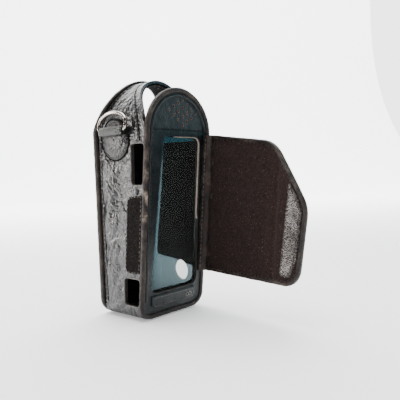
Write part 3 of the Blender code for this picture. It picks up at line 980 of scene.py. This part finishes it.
def build_front():
    s_low, s_high = RIM_LOW + 0.0012, TONGUE_TOP - 0.0010
    skin = front_sheet("front_skin", 0.0008, 0.0, 0.0022, s_low, s_high, True, FRONT_SKIN_PAINTED_TEAL)
    carve(skin, [front_prism(window_outline(0.0), -0.006, 0.004)], DARK_EDGE)
    carve(skin, hole_cutters(0.00095), TAN)
    section = bead_section(-0.0002, 0.0002, -0.0004, 0.00014, 8, 1.0)
    rims = []
    for spot in hole_spots():
        rims.append(sweep_on(arc(spot, 0.00105, 0, 337.5, 15), section, True, front_at, 0.0003, 0.0))
    bend_front(make_piece("hole_cut_edges", *join_parts(rims), [TAN]), [])
    all_over, at_left = blotches(0.5, 0.014, 8.0, 0.28), blotches(0.5, 0.006, 5.0, 0.1)
    paint(skin, lambda c: all_over(c) + at_left(c) * smooth((-0.021 - c.x) / 0.006))
    bend_front(skin, ["front_frame", "tongue_panel"])
    s_low, s_high = 0.1390, TONGUE_TOP - 0.0040
    lining = front_sheet("tongue_backing", 0.0036, -0.0025, 0.0008, s_low, s_high, False, LINING)
    carve(lining, hole_cutters(0.0010), TAN)
    bend_front(lining, ["tongue_lining"])
    build_front_roll()
    build_front_welt()


def build_front_roll():
    """The bound edge of the front, rubbed pale in one stretch on its left."""
    section = bead_section(-0.0017, 0.0020, -0.0022, 0.0013)
    roll = make_piece("front_rim_roll", *sweep_on(front_outline(), section, True, front_at), [RIM_SKIN])
    patchy, all_over = stains(1.0, 0.006, 6.0, 0.30, 0.6), blotches(0.1, 0.012, 9.0, 0.25)

    def wear(c):
        stretch = 0.10 + 1.0 * hump((c.z - 0.088) / 0.026)
        return stretch * smooth((-c.x - 0.02) / 0.01) * patchy(c) + all_over(c)

    paint(roll, wear)
    bend_front(roll, ["front_rim", "tongue_rim"])


def build_front_welt():
    """The raised welt inside the bound edge, and the stitches on both sides of it."""
    path = [(x, s) for x, s in inset(front_outline(), WELT_IN) if s > 0.014 and not (x > 0.0 and s < 0.136)]
    split = max(range(len(path)), key=lambda i: (Vector(path[i]) - Vector(path[i - 1])).length)
    path = path[split:] + path[:split]
    section = bead_section(-0.0011, 0.0011, -0.0006, 0.0008, 12, 0.8)
    welt = make_piece("front_welt", *sweep_on(path, section, False, front_at), [FRONT_SKIN_PAINTED_TEAL])
    paint(welt, blotches(0.6, 0.010, 4.0, 0.15))
    bend_front(welt, [])
    seams = []
    for shift in (-0.0016, 0.0013):
        line = []
        for p, n, _ in resample(path, 0.0010, False):
            at = p + n * shift
            line.append((front_at(at.x, at.y, 0.0001), front_at(p.x, p.y, 1.0) - front_at(p.x, p.y)))
        seams.append(stitch_run(line, 0.0019, 0.0010, 0.00026))
    piece = make_piece("front_stitches", *join_parts(seams), [DARK_THREAD])
    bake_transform(piece)


STRIP_LOW, STRIP_HIGH = 0.0085, 0.0172
STRIP_HALF, STRIP_CORNER = 0.0225, 0.003
STRIP_EYELETS = ((0.0140, 0.0120), (0.0172, 0.0120))


def strip_part():
    """The strip below the window: a thin plate with rounded lower corners and a turned-in edge."""
    rows, cols = 12, 60

    def pair(i, j):
        s = mix(STRIP_LOW, STRIP_HIGH, i / rows)
        low = min(max((s - STRIP_LOW) / STRIP_CORNER, 0.0), 1.0)
        half = STRIP_HALF - STRIP_CORNER * (1.0 - math.sqrt(1.0 - (1.0 - low) ** 2))
        x = mix(-half, half, j / cols)
        on_edge = min(j, cols - j, i, rows - i) == 0
        h = -0.0004 if on_edge else 0.0001 * lumps((x, 0.0, s), 0.004, 31.0)
        return front_at(x, s, 0.0012 + h), front_at(x, s, 0.0002)

    return slab(rows + 1, cols + 1, pair)


def build_lower_strip():
    piece = make_piece("lower_strip_skin", *strip_part(), [FRONT_SKIN_PAINTED_TEAL])
    cuts = [front_prism(arc(spot, 0.0009, 0, 340, 17), -0.004, 0.004) for spot in STRIP_EYELETS]
    carve(piece, cuts, DARK_EDGE)
    paint(piece, blotches(0.5, 0.008, 8.0, 0.2))
    stand_for(piece, "case", ["lower_strip"], "front_leather")
    section = bead_section(-0.0004, 0.0004, 0.0008, 0.0016, 8, 1.0)
    rings = [sweep_on(circle(spot, 0.0013, 20), section, True, front_at, 0.0004, 0.0)
             for spot in STRIP_EYELETS]
    rider("strip_eyelets", join_parts(rings), EYELET)
    runs = []
    for s in (0.0157, 0.0098):
        runs.append(stitch_run([(front_at(x / 1000.0, s, 0.00125), FRONT_OUT) for x in range(-21, 22)]))
    rider("strip_stitches", join_parts(runs), GREY_THREAD)


def build_window():
    """The clear sheet, bowed a little outward, with its cut edge, coloured pale in part as a painted
    highlight, and its backing frame.
    """
    rows, cols = 80, 36

    def pair(i, j):
        t = i / rows
        s = mix(WINDOW_LOW - 0.0016, WINDOW_HIGH + 0.0016, t)
        left, right = mix(-0.0249, -0.0176, t), mix(0.0270, 0.0248, t)
        x = mix(left, right, j / cols)
        inside = smooth(min(x - left - 0.0018, right - x - 0.0018, s - 0.0190, 0.1315 - s) / 0.003)
        wave = 0.0015 * (1.0 - abs(2.0 * t - 1.0) ** 3) + 0.0004 * lumps((x, 0.0, s * 0.5), 0.024, 41.0)
        out = -0.0025 + inside * max(wave + 0.0002, -0.0001)
        return front_at(x, s, out), front_at(x, s, out - 0.0007)

    pane = make_piece("window_pane", *slab(rows + 1, cols + 1, pair), [VINYL])
    stand_for(pane, "case", ["window_vinyl"], "vinyl")
    build_sheet_edge_highlight()
    rings = []
    for (x, s), (u, v) in zip(window_outline(0.0020), window_outline(-0.0008)):
        rings.append([front_at(x, s, -0.0036), front_at(x, s, -0.0044),
                      front_at(u, v, -0.0044), front_at(u, v, -0.0036)])
    stand_for(make_piece("window_liner", *loft(rings, True), [LINING]), "case", ["window_backing"], "felt")


def build_sheet_edge_highlight():
    """The edge of the clear sheet down the right side and along the top, coloured pale as a painted
    highlight where it catches the light.
    """
    rim = [(x, s) for x, s in window_outline(-0.0004)
           if (x > 0.015 and s > 0.078) or (x > -0.004 and s > 0.128)]
    side = rim[0][0]
    tail = [(side + 0.0012, 0.0700), (side + 0.0004, 0.0730), (side + 0.00015, 0.0760)]
    rim = tail + rim + [(-0.004, rim[-1][1])]
    bead = sweep_on(rim, bead_section(-0.0004, 0.0004, -0.0020, -0.0006, 10, 0.9), False, front_at)
    rider("window_edge_painted_highlight", bead, PALE_EDGE_PAINTED_HIGHLIGHT)


# ---- cover flap ----
FLAP_CORNERS = ((0.0, FLAP_LOW, 0.0), (0.0930, 0.0370, 0.014), (0.0968, 0.0915, 0.020),
                (0.0650, 0.1326, 0.022), (0.0, FLAP_HIGH, 0.0))
FLAP_OUTLINE = rounded(FLAP_CORNERS, 10)
FLAP_END = max(u for u, v in FLAP_OUTLINE)


def flap_limits(u, shrink):
    """Lowest and highest V of the flap at a distance from its fold, inside the given margin."""
    outline = FLAP_OUTLINE
    u = min(u, FLAP_END - 0.0002)
    crossings = []
    for a, b in zip(outline, outline[1:] + outline[:1]):
        if (a[0] - u) * (b[0] - u) <= 0.0 and abs(a[0] - b[0]) > 1e-9:
            crossings.append(mix(a[1], b[1], (u - a[0]) / (b[0] - a[0])))
    return min(crossings) + shrink, max(crossings) - shrink


def flap_layer(name, u_low, u_high, y_low, y_high, material, seed, rough):
    """One layer of the flap between two distances from its fold; both faces carry its surface."""
    rows = max(round((u_high - u_low) / 0.0010), 2)
    lines = [mix(u_low, u_high, i / rows) for i in range(rows + 1)]
    limits = [flap_limits(u + FLAP_SHRINK * smooth((u - 0.05) / 0.04), FLAP_SHRINK) for u in lines]

    def pair(i, j):
        u = lines[i]
        low, high = limits[i]
        v = mix(low, high, j / 100.0)
        edge = smooth(min(v - low, high - v) / 0.003) * smooth((FLAP_END - 0.002 - u) / 0.002)
        h = rough * lumps((u, seed, v), 0.008, seed) * edge
        fold = 0.00045 * hump((u - TAIL_U) / 0.0026)
        return flap_at(u, y_low - h + fold, v), flap_at(u, y_high + h - fold, v)

    return make_piece(name, *slab(rows + 1, 101, pair), [material])


def flap_piece(piece, nodes, slot):
    stand_for(piece, "flap", nodes, slot)


def tail_piece(piece, nodes, slot):
    """A piece on the flap's tail, baked in place; its CAD nodes are hidden."""
    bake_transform(piece)
    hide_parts(*nodes)


def flap_edge_path(u_low, u_high, side):
    """The part of the flap's outline between two distances from the fold: low, high or end."""
    if side == "end":
        low, high = flap_limits(u_low, 0.0)
        return [(u_low, low)] + [p for p in FLAP_OUTLINE if p[0] > u_low + 0.0002] + [(u_low, high)]
    if side == "high":
        u_low, u_high = u_high, u_low
    pick = 1 if side == "high" else 0
    lines = [mix(u_low, u_high, t / 60.0) for t in range(61)]
    return [(u, flap_limits(u, 0.0)[pick]) for u in lines]


def flap_surface(x, up, out):
    return flap_at(x, -out, up)


def edge_threads(path):
    """Stitches along the binding, on the felt side and on the leather side."""
    runs = []
    for face, out in ((-0.00035, FLAP_OUT), (0.0023, -FLAP_OUT)):
        inner = [p - n * 0.0031 for p, n, _ in resample(path, 0.0010, False)]
        runs.append(stitch_run([(flap_at(at.x, face, at.y), out) for at in inner], 0.0022, 0.0012, 0.00032))
    return join_parts(runs)


def edge_rub(c):
    patchy = stains(0.16, 0.009, 6.0, 0.5, 0.8)
    return patchy(c) * smooth((abs(lumps(c, 0.02, 3.0)) - 0.05) / 0.3)


def build_flap():
    for part, u_low, u_high, join in (("flap", 0.0030, JOIN_U, flap_piece),
                                      ("tail", JOIN_U, FLAP_END - 0.0021, tail_piece)):
        felt = flap_layer(part + "_felt_face", u_low, u_high, -0.0004, 0.0008, FELT, 51.0, 0.00018)
        join(felt, [part + "_felt"], "felt")
        skin = flap_layer(part + "_skin", u_low, u_high, 0.0009, 0.0022, FLAP_SKIN, 52.0, 0.00016)
        paint(skin, blotches(0.5, 0.016, 8.0, 0.3))
        join(skin, [part + "_leather"], "strap_leather")
    section = bead_section(-0.0027, 0.0002, -0.0026, 0.0009, 14, 0.6)
    for name, node, side, u_low, u_high, join in (
            ("flap_edge_high", "flap_binding_top", "high", 0.0032, JOIN_U, flap_piece),
            ("flap_edge_low", "flap_binding_bottom", "low", 0.0032, JOIN_U, flap_piece),
            ("tail_edge", "tail_binding", "end", JOIN_U, 0.0968, tail_piece)):
        path = flap_edge_path(u_low, u_high, side)
        piece = make_piece(name, *sweep_on(path, section, False, flap_surface, 0.0010), [RIM_SKIN])
        paint(piece, edge_rub)
        join(piece, [node], "rim_leather")
        if side == "end":
            threads = make_piece("tail_stitches", *edge_threads(path), [DARK_THREAD])
            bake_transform(threads)
        else:
            rider("flap_stitches_" + side, edge_threads(path), DARK_THREAD, "flap")
    build_flap_root()
    build_hook_tape()


def build_flap_root():
    """The leather that runs from the front, round the rim and into the flap."""
    to_front = (FLAP.inverted() @ FRONT_PLANE).inverted()
    round_rim = ((0.0262, 0.0008), (0.0275, 0.0009), (0.0290, 0.0013), (0.0303, 0.0022), (0.0314, 0.0032))
    line = [Vector((x, -out)) for x, out in round_rim]
    for u, y in ((0.0012, 0.0004), (0.0028, 0.0003), (0.0048, 0.0003)):
        line.append((to_front @ Vector((u, y, 0.0))).xy)
    places = resample(line, 0.0006, False)

    def pair(i, j):
        p, n, length = places[i]
        v = mix(FLAP_LOW, FLAP_HIGH, j / 120.0)
        face = p + n * (0.00065 + 0.0002 * lumps((length * 2.0, 0.0, v), 0.006, 61.0))
        rear = p - n * 0.00045
        return FRONT_PLANE @ Vector((face.x, face.y, v)), FRONT_PLANE @ Vector((rear.x, rear.y, v))

    piece = make_piece("flap_root", *slab(len(places), 121, pair), [RIM_SKIN])
    paint(piece, blotches(0.10, 0.012, 8.0, 0.15))
    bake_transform(piece)
    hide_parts("flap_root_strip")
    line = [(FRONT_PLANE @ Vector((0.0273, -0.00165, v / 1000.0)), FRONT_OUT) for v in range(31, 133)]
    rider("flap_root_stitches", stitch_run(line), GREY_THREAD)


HOOK_OUTLINE = ((0.0075, 0.0425, 0.002), (0.0160, 0.0420, 0.004), (0.0210, 0.0560, 0.006),
                (0.0233, 0.0890, 0.005), (0.0165, 0.1000, 0.002), (0.0108, 0.1072, 0.001))


def inside_of(outline, x, y):
    """Whether a point is inside a polygon."""
    inside = False
    for (ax, ay), (bx, by) in zip(outline, outline[1:] + outline[:1]):
        if (ay > y) != (by > y) and x < (bx - ax) * (y - ay) / (by - ay) + ax:
            inside = not inside
    return inside


def tuft(foot, out, along, height, width):
    """One short bent fibre, closed."""
    side = out.cross(along).normalized()
    rings = []
    for t, share in ((0.0, 1.0), (0.5, 0.85), (1.0, 0.35)):
        centre = foot + out * (height * t) + along * (height * 0.6 * t * t)
        rings.append([centre + side * width * share, centre + along * width * share,
                      centre - side * width * share, centre - along * width * share])
    return loft(rings, False)


def pile(spots, height, width, seed):
    """Fibres on a list of (foot, outward direction, direction along the face)."""
    pick = random.Random(seed)
    parts = []
    for foot, out, along in spots:
        side = out.cross(along)
        angle = pick.uniform(0.0, 2.0 * math.pi)
        way = (along * math.cos(angle) + side * math.sin(angle)).normalized()
        parts.append(tuft(foot, out, way, height * pick.uniform(0.6, 1.2), width * pick.uniform(0.8, 1.2)))
    return join_parts(parts)


def build_hook_tape():
    outline = rounded(HOOK_OUTLINE, 6)
    low = [flap_at(TAIL_U + u, -0.0004, v) for u, v in outline]
    high = [flap_at(TAIL_U + u, -0.0014, v) for u, v in outline]
    tape = make_piece("hook_tape_base", *prism(low, high), [HOOKS])
    tail_piece(tape, ["hook_strip"], "tape")
    pick = random.Random(5)
    spots = []
    along = FLAP.to_3x3() @ Vector((0.0, 0.0, 1.0))
    keep = inset(outline, 0.0016)
    for i in range(20):
        for k in range(72):
            u = 0.0068 + i * 0.0009 + pick.uniform(-0.0002, 0.0002)
            v = 0.0415 + (k + 0.5 * (i % 2)) * 0.00094 + pick.uniform(-0.0002, 0.0002)
            if inside_of(keep, u, v):
                spots.append((flap_at(TAIL_U + u, -0.0013, v), FLAP_OUT, along))
    tail_piece(make_piece("hook_tape_hooks", *pile(spots, 0.0009, 0.00021, 6), [HOOK_PLASTIC_PAINTED_GLINT]), [], "tape")
    seam = resample(inset(outline, 0.0009), 0.0008, True)
    line = [(flap_at(TAIL_U + p.x, -0.0014, p.y), FLAP_OUT) for p, _, _ in seam]
    piece = make_piece("hook_tape_stitches", *stitch_run(line, 0.0019, 0.0009, 0.00028), [GREY_THREAD])
    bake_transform(piece)


# ---- left side: loop patch, ring patch, strap and ring ----
def side_plate(name, outline, low, high, material, swell=0.0003):
    """A plate on the left wall, from an outline of (y, z), with a slightly rounded rim."""
    rings = []
    for x, shrink in ((-low, 0.0), (-(high - swell), 0.0), (-high, swell)):
        rings.append([Vector((x, y, z)) for y, z in inset(outline, shrink)])
    return make_piece(name, *loft(rings, False), [material])


def loop_outline():
    """The loop patch as (y, z), set along the front's lean."""
    corners = ((0.0345, 0.0008, 0.002), (0.0345, 0.0166, 0.004),
               (0.0895, 0.0166, 0.005), (0.0910, 0.0008, 0.002))
    return rounded([(front_edge(z) + behind, z, radius) for z, behind, radius in corners])


def build_loop_patch():
    face = HALF + 0.0003
    outline = loop_outline()
    plate = side_plate("loop_patch_base", outline, face - 0.0004, face + 0.0003, LOOPS)
    stand_for(plate, "case", ["loop_patch"], "tape")
    pick = random.Random(8)
    keep = inset(outline, 0.0007)
    up = Vector((0.0, 0.0, 1.0))
    spots = []
    while len(spots) < 3400:
        y, z = pick.uniform(-0.034, -0.001), pick.uniform(0.034, 0.092)
        if inside_of(keep, y, z):
            spots.append((Vector((-face - 0.0002, y, z)), LEFT, up))
    rider("loop_patch_pile", pile(spots, 0.0006, 0.00012, 9), LOOPS)
    line = [(Vector((-face - 0.0003, y, z)), LEFT) for y, z in inset(outline, 0.0009)]
    rider("loop_patch_stitches", stitch_run(line + line[:1]), GREY_THREAD)


RING_AT = Vector((-0.0353, -0.0030, 0.1375))
RING_HALF, RING_RISE, RING_WIRE = 0.0149, 0.0130, 0.0012
PATCH_AT, PATCH_REACH = (-0.0015, 0.1310), 0.0148


def patch_height(distance):
    """How far the round patch stands off the wall at a distance inside its edge."""
    rise = 0.0009 * math.sqrt(smooth(distance / 0.0012)) + 0.0008 * smooth((distance - 0.0022) / 0.0060)
    return rise - 0.0004 * hump((distance - 0.0020) / 0.0007)


def build_ring_patch():
    wall = HALF + 0.0001

    def pair(i, j):
        turn = 2.0 * math.pi * i / 96
        radius = mix(PATCH_REACH, 0.0006, j / 24.0)
        y, z = PATCH_AT[0] + radius * math.cos(turn), PATCH_AT[1] + radius * math.sin(turn)
        h = patch_height(PATCH_REACH - radius) + 0.00010 * lumps((0.0, y, z), 0.004, 15.0) * smooth(j / 4.0)
        return Vector((-wall - h, y, z)), Vector((-wall + 0.0003, y, z))

    plate = make_piece("ring_patch_leather", *slab(96, 25, pair, True), [PATCH_SKIN])
    paint(plate, blotches(0.4, 0.006, 6.0, 0.1))
    stand_for(plate, "case", ["ring_patch"], "gusset_leather")
    section = bead_section(-0.0005, 0.0005, -0.0003, 0.0006, 10, 1.0)
    # a near-black bead round the patch's edge: a painted shade line
    shade_cord = sweep_on(circle(PATCH_AT, PATCH_REACH + 0.0003, 96), section, True,
                    lambda y, z, out: Vector((-wall - out, y, z)), 0.0010)
    rider("ring_patch_painted_shade", shade_cord, PAINTED_SEAM_SHADE)
    ring = circle(PATCH_AT, 0.0128, 120)
    line = [(Vector((-wall - 0.0006, y, z)), LEFT) for y, z in ring + ring[:1]]
    rider("ring_patch_stitches", stitch_run(line), DARK_THREAD)
    line = [(Vector((-wall - 0.0018, RING_AT.y + y / 1000.0, 0.1330)), LEFT) for y in range(-11, 12)]
    rider("strap_foot_stitches", stitch_run(line, 0.0015, 0.0008, 0.00026), DARK_THREAD)


def build_strap_loop():
    """The strap round the ring's bar, with a round tunnel for the wire."""
    x_in, x_out = -(HALF + 0.0018), RING_AT.x - 0.0025
    low, high = RING_AT.z - 0.0036, RING_AT.z + 0.0027
    half_width, tunnel_radius = 0.0127, 0.00158
    outer = rounded([(x_out, low, 0.0014), (x_in, low, 0.0004),
                     (x_in, high, 0.0012), (x_out, high, 0.0024)], 6)
    outer = [tuple(p) for p, _, _ in resample(outer, 0.0004, True)]
    count = len(outer)
    turns = [abs(math.atan2(z - RING_AT.z, x - RING_AT.x)) for x, z in outer]
    start = turns.index(min(turns))
    outer = outer[start:] + outer[:start]
    way = 1.0 if outer[3][1] > outer[0][1] else -1.0
    rings = []
    for k in range(33):
        y = RING_AT.y + half_width * (k / 16.0 - 1.0)
        edge = 0.0004 * smooth(1.0 - min(k, 32 - k) / 2.0)
        rings.append([])
        for x, z in outer:
            h = 0.00012 * lumps((x, y, z), 0.005, 71.0) - edge
            away = Vector((x - RING_AT.x, z - RING_AT.z)).normalized()
            rings[-1].append(Vector((x + away.x * h, y, z + away.y * h)))
    for y in (RING_AT.y + half_width, RING_AT.y - half_width):
        rings.append([])
        for i in range(count):
            turn = way * 2.0 * math.pi * i / count
            away = Vector((math.cos(turn), 0.0, math.sin(turn))) * tunnel_radius
            rings[-1].append(Vector((RING_AT.x, y, RING_AT.z)) + away)
    piece = make_piece("strap_loop", *loft(rings, True), [STRAP_SKIN])
    paint(piece, blotches(0.5, 0.008, 8.0, 0.2))
    stand_for(piece, "case", ["ring_loop"], "strap_leather")


def build_ring():
    corner = 0.0030
    path = arc((-RING_HALF + corner, corner), corner, 180, 270, 8)
    path += arc((RING_HALF - corner, corner), corner, 270, 360, 8)
    path += [(RING_HALF * math.cos(a), 0.0045 + (RING_RISE - 0.0045) * math.sin(a))
             for a in (math.pi * i / 48 for i in range(49))]
    lean = Matrix.Rotation(math.radians(8.0), 3, "Y")
    rings = []
    for p, n, _ in resample(path, 0.0006, True):
        rings.append([])
        for k in range(20):
            a = 2.0 * math.pi * k / 20
            flat = p + n * RING_WIRE * math.cos(a)
            at = Vector((-RING_WIRE * math.sin(a), flat.x, flat.y))
            rings[-1].append(RING_AT + lean @ at)
    piece = make_piece("d_ring_wire", *loft(rings, True), [CHROME], 80.0)
    stand_for(piece, "ring", ["d_ring"], "chrome_wire")


# ---- studio ----
def floor_profile():
    """The floor runs level past the object and then curves up into a backdrop."""
    rows = []
    for i in range(41):
        t = i / 40.0
        if t < 0.5:
            rows.append((mix(-1.6, 1.4, t / 0.5), 0.0))
        else:
            a = (t - 0.5) / 0.5
            bend = min(a * 1.6, 1.0) * math.pi / 2
            z = 0.9 * (1.0 - math.cos(bend)) + max(a - 0.625, 0.0) * 4.0
            rows.append((1.4 + 0.9 * math.sin(bend), z))
    return rows


def build_floor():
    rows = floor_profile()
    turn = Matrix.Rotation(math.radians(-41.8), 3, "Z")
    verts = [turn @ Vector((x, y, z - 0.0003)) for y, z in rows for x in (-1.25, 1.25)]
    faces = [(2 * i, 2 * i + 1, 2 * i + 3, 2 * i + 2) for i in range(len(rows) - 1)]
    mesh = bpy.data.meshes.new("studio_floor")
    mesh.from_pydata([tuple(v) for v in verts], [], faces)
    mesh.materials.append(WHITE)
    mesh.shade_smooth()
    floor = bpy.data.objects.new("studio_floor", mesh)
    bpy.context.scene.collection.objects.link(floor)


def add_light(name, at, aim, size, power, tint):
    light = bpy.data.lights.new(name, "AREA")
    light.shape = "RECTANGLE"
    light.size, light.size_y = size
    light.energy = power
    light.color = tint
    lamp = bpy.data.objects.new(name, light)
    bpy.context.scene.collection.objects.link(lamp)
    lamp.location = at
    lamp.rotation_euler = (Vector(aim) - Vector(at)).to_track_quat("-Z", "Y").to_euler()


def build_world():
    """A bright backdrop behind the object and a dim, slightly cyan room in front of it."""
    world = bpy.data.worlds.new("studio")
    bpy.context.scene.world = world
    world.use_nodes = True
    tree = world.node_tree
    way = tree.nodes.new("ShaderNodeTexCoord").outputs["Generated"]

    def facing(direction, low, high):
        dot = tree.nodes.new("ShaderNodeVectorMath")
        dot.operation = "DOT_PRODUCT"
        tree.links.new(way, dot.inputs[0])
        dot.inputs[1].default_value = Vector(direction).normalized()
        span = tree.nodes.new("ShaderNodeMapRange")
        span.interpolation_type = "SMOOTHSTEP"
        tree.links.new(dot.outputs["Value"], span.inputs["Value"])
        span.inputs["From Min"].default_value = low
        span.inputs["From Max"].default_value = high
        return span.outputs[0]

    def tint(share, a, b):
        node = tree.nodes.new("ShaderNodeMix")
        node.data_type = "RGBA"
        tree.links.new(share, node.inputs[0])
        if isinstance(a, tuple):
            node.inputs[6].default_value = a
        else:
            tree.links.new(a, node.inputs[6])
        node.inputs[7].default_value = b
        return node.outputs[2]

    room = tint(facing((0.75, -0.66, -0.10), 0.55, 0.98), (0.05, 0.05, 0.05, 1.0), (0.20, 0.64, 0.80, 1.0))
    whole = tint(facing((0.745, 0.665, 0.0), 0.35, 0.75), room, (3.6, 3.62, 3.65, 1.0))
    tree.links.new(whole, tree.nodes["Background"].inputs["Color"])
    tree.nodes["Background"].inputs["Strength"].default_value = 1.0


# name, place, aim, size, power, tint
LIGHTS = (
    ("key_left", (-0.59, 0.62, 0.20), (-0.03, 0.005, 0.09), (0.10, 0.32), 4.6, (1.0, 0.955, 0.925)),
    ("high_left", (-0.05, 0.75, 0.72), (0.0, 0.0, 0.15), (0.50, 0.40), 3.4, (1.0, 0.97, 0.95)),
    ("front_soft", (-0.45, -0.95, 0.65), (0.0, 0.0, 0.08), (0.4, 0.3), 2.0, (0.95, 0.98, 1.0)),
    ("top_soft", (0.1, 0.1, 1.3), (0.0, 0.0, 0.0), (1.2, 1.2), 42.0, (1.0, 1.0, 1.0)),
)


def build_lights():
    build_world()
    for settings in LIGHTS:
        add_light(*settings)


def build_camera():
    camera = bpy.data.cameras.new("camera")
    camera.lens = CAMERA_LENS
    camera.sensor_width = 36.0
    camera.clip_start = 0.01
    rig = bpy.data.objects.new("camera", camera)
    bpy.context.scene.collection.objects.link(rig)
    level = Vector((math.cos(CAMERA_TURN), -math.sin(CAMERA_TURN), 0.0))
    forward = Vector((math.sin(CAMERA_TURN), math.cos(CAMERA_TURN), 0.0))
    ahead = forward * math.cos(CAMERA_DIP) - Vector((0.0, 0.0, math.sin(CAMERA_DIP)))
    right = level * math.cos(CAMERA_ROLL) + level.cross(ahead) * math.sin(CAMERA_ROLL)
    up = right.cross(ahead)
    turn = Matrix((right, up, -ahead)).transposed().to_4x4()
    rig.matrix_world = Matrix.Translation(CAMERA_AT) @ turn
    bpy.context.scene.camera = rig


build_shell()
build_window_beads()
build_shell_stitches()
build_back()
build_base()
build_front()
build_lower_strip()
build_window()
build_flap()
build_loop_patch()
build_ring_patch()
build_strap_loop()
build_ring()
build_floor()
build_lights()
build_camera()
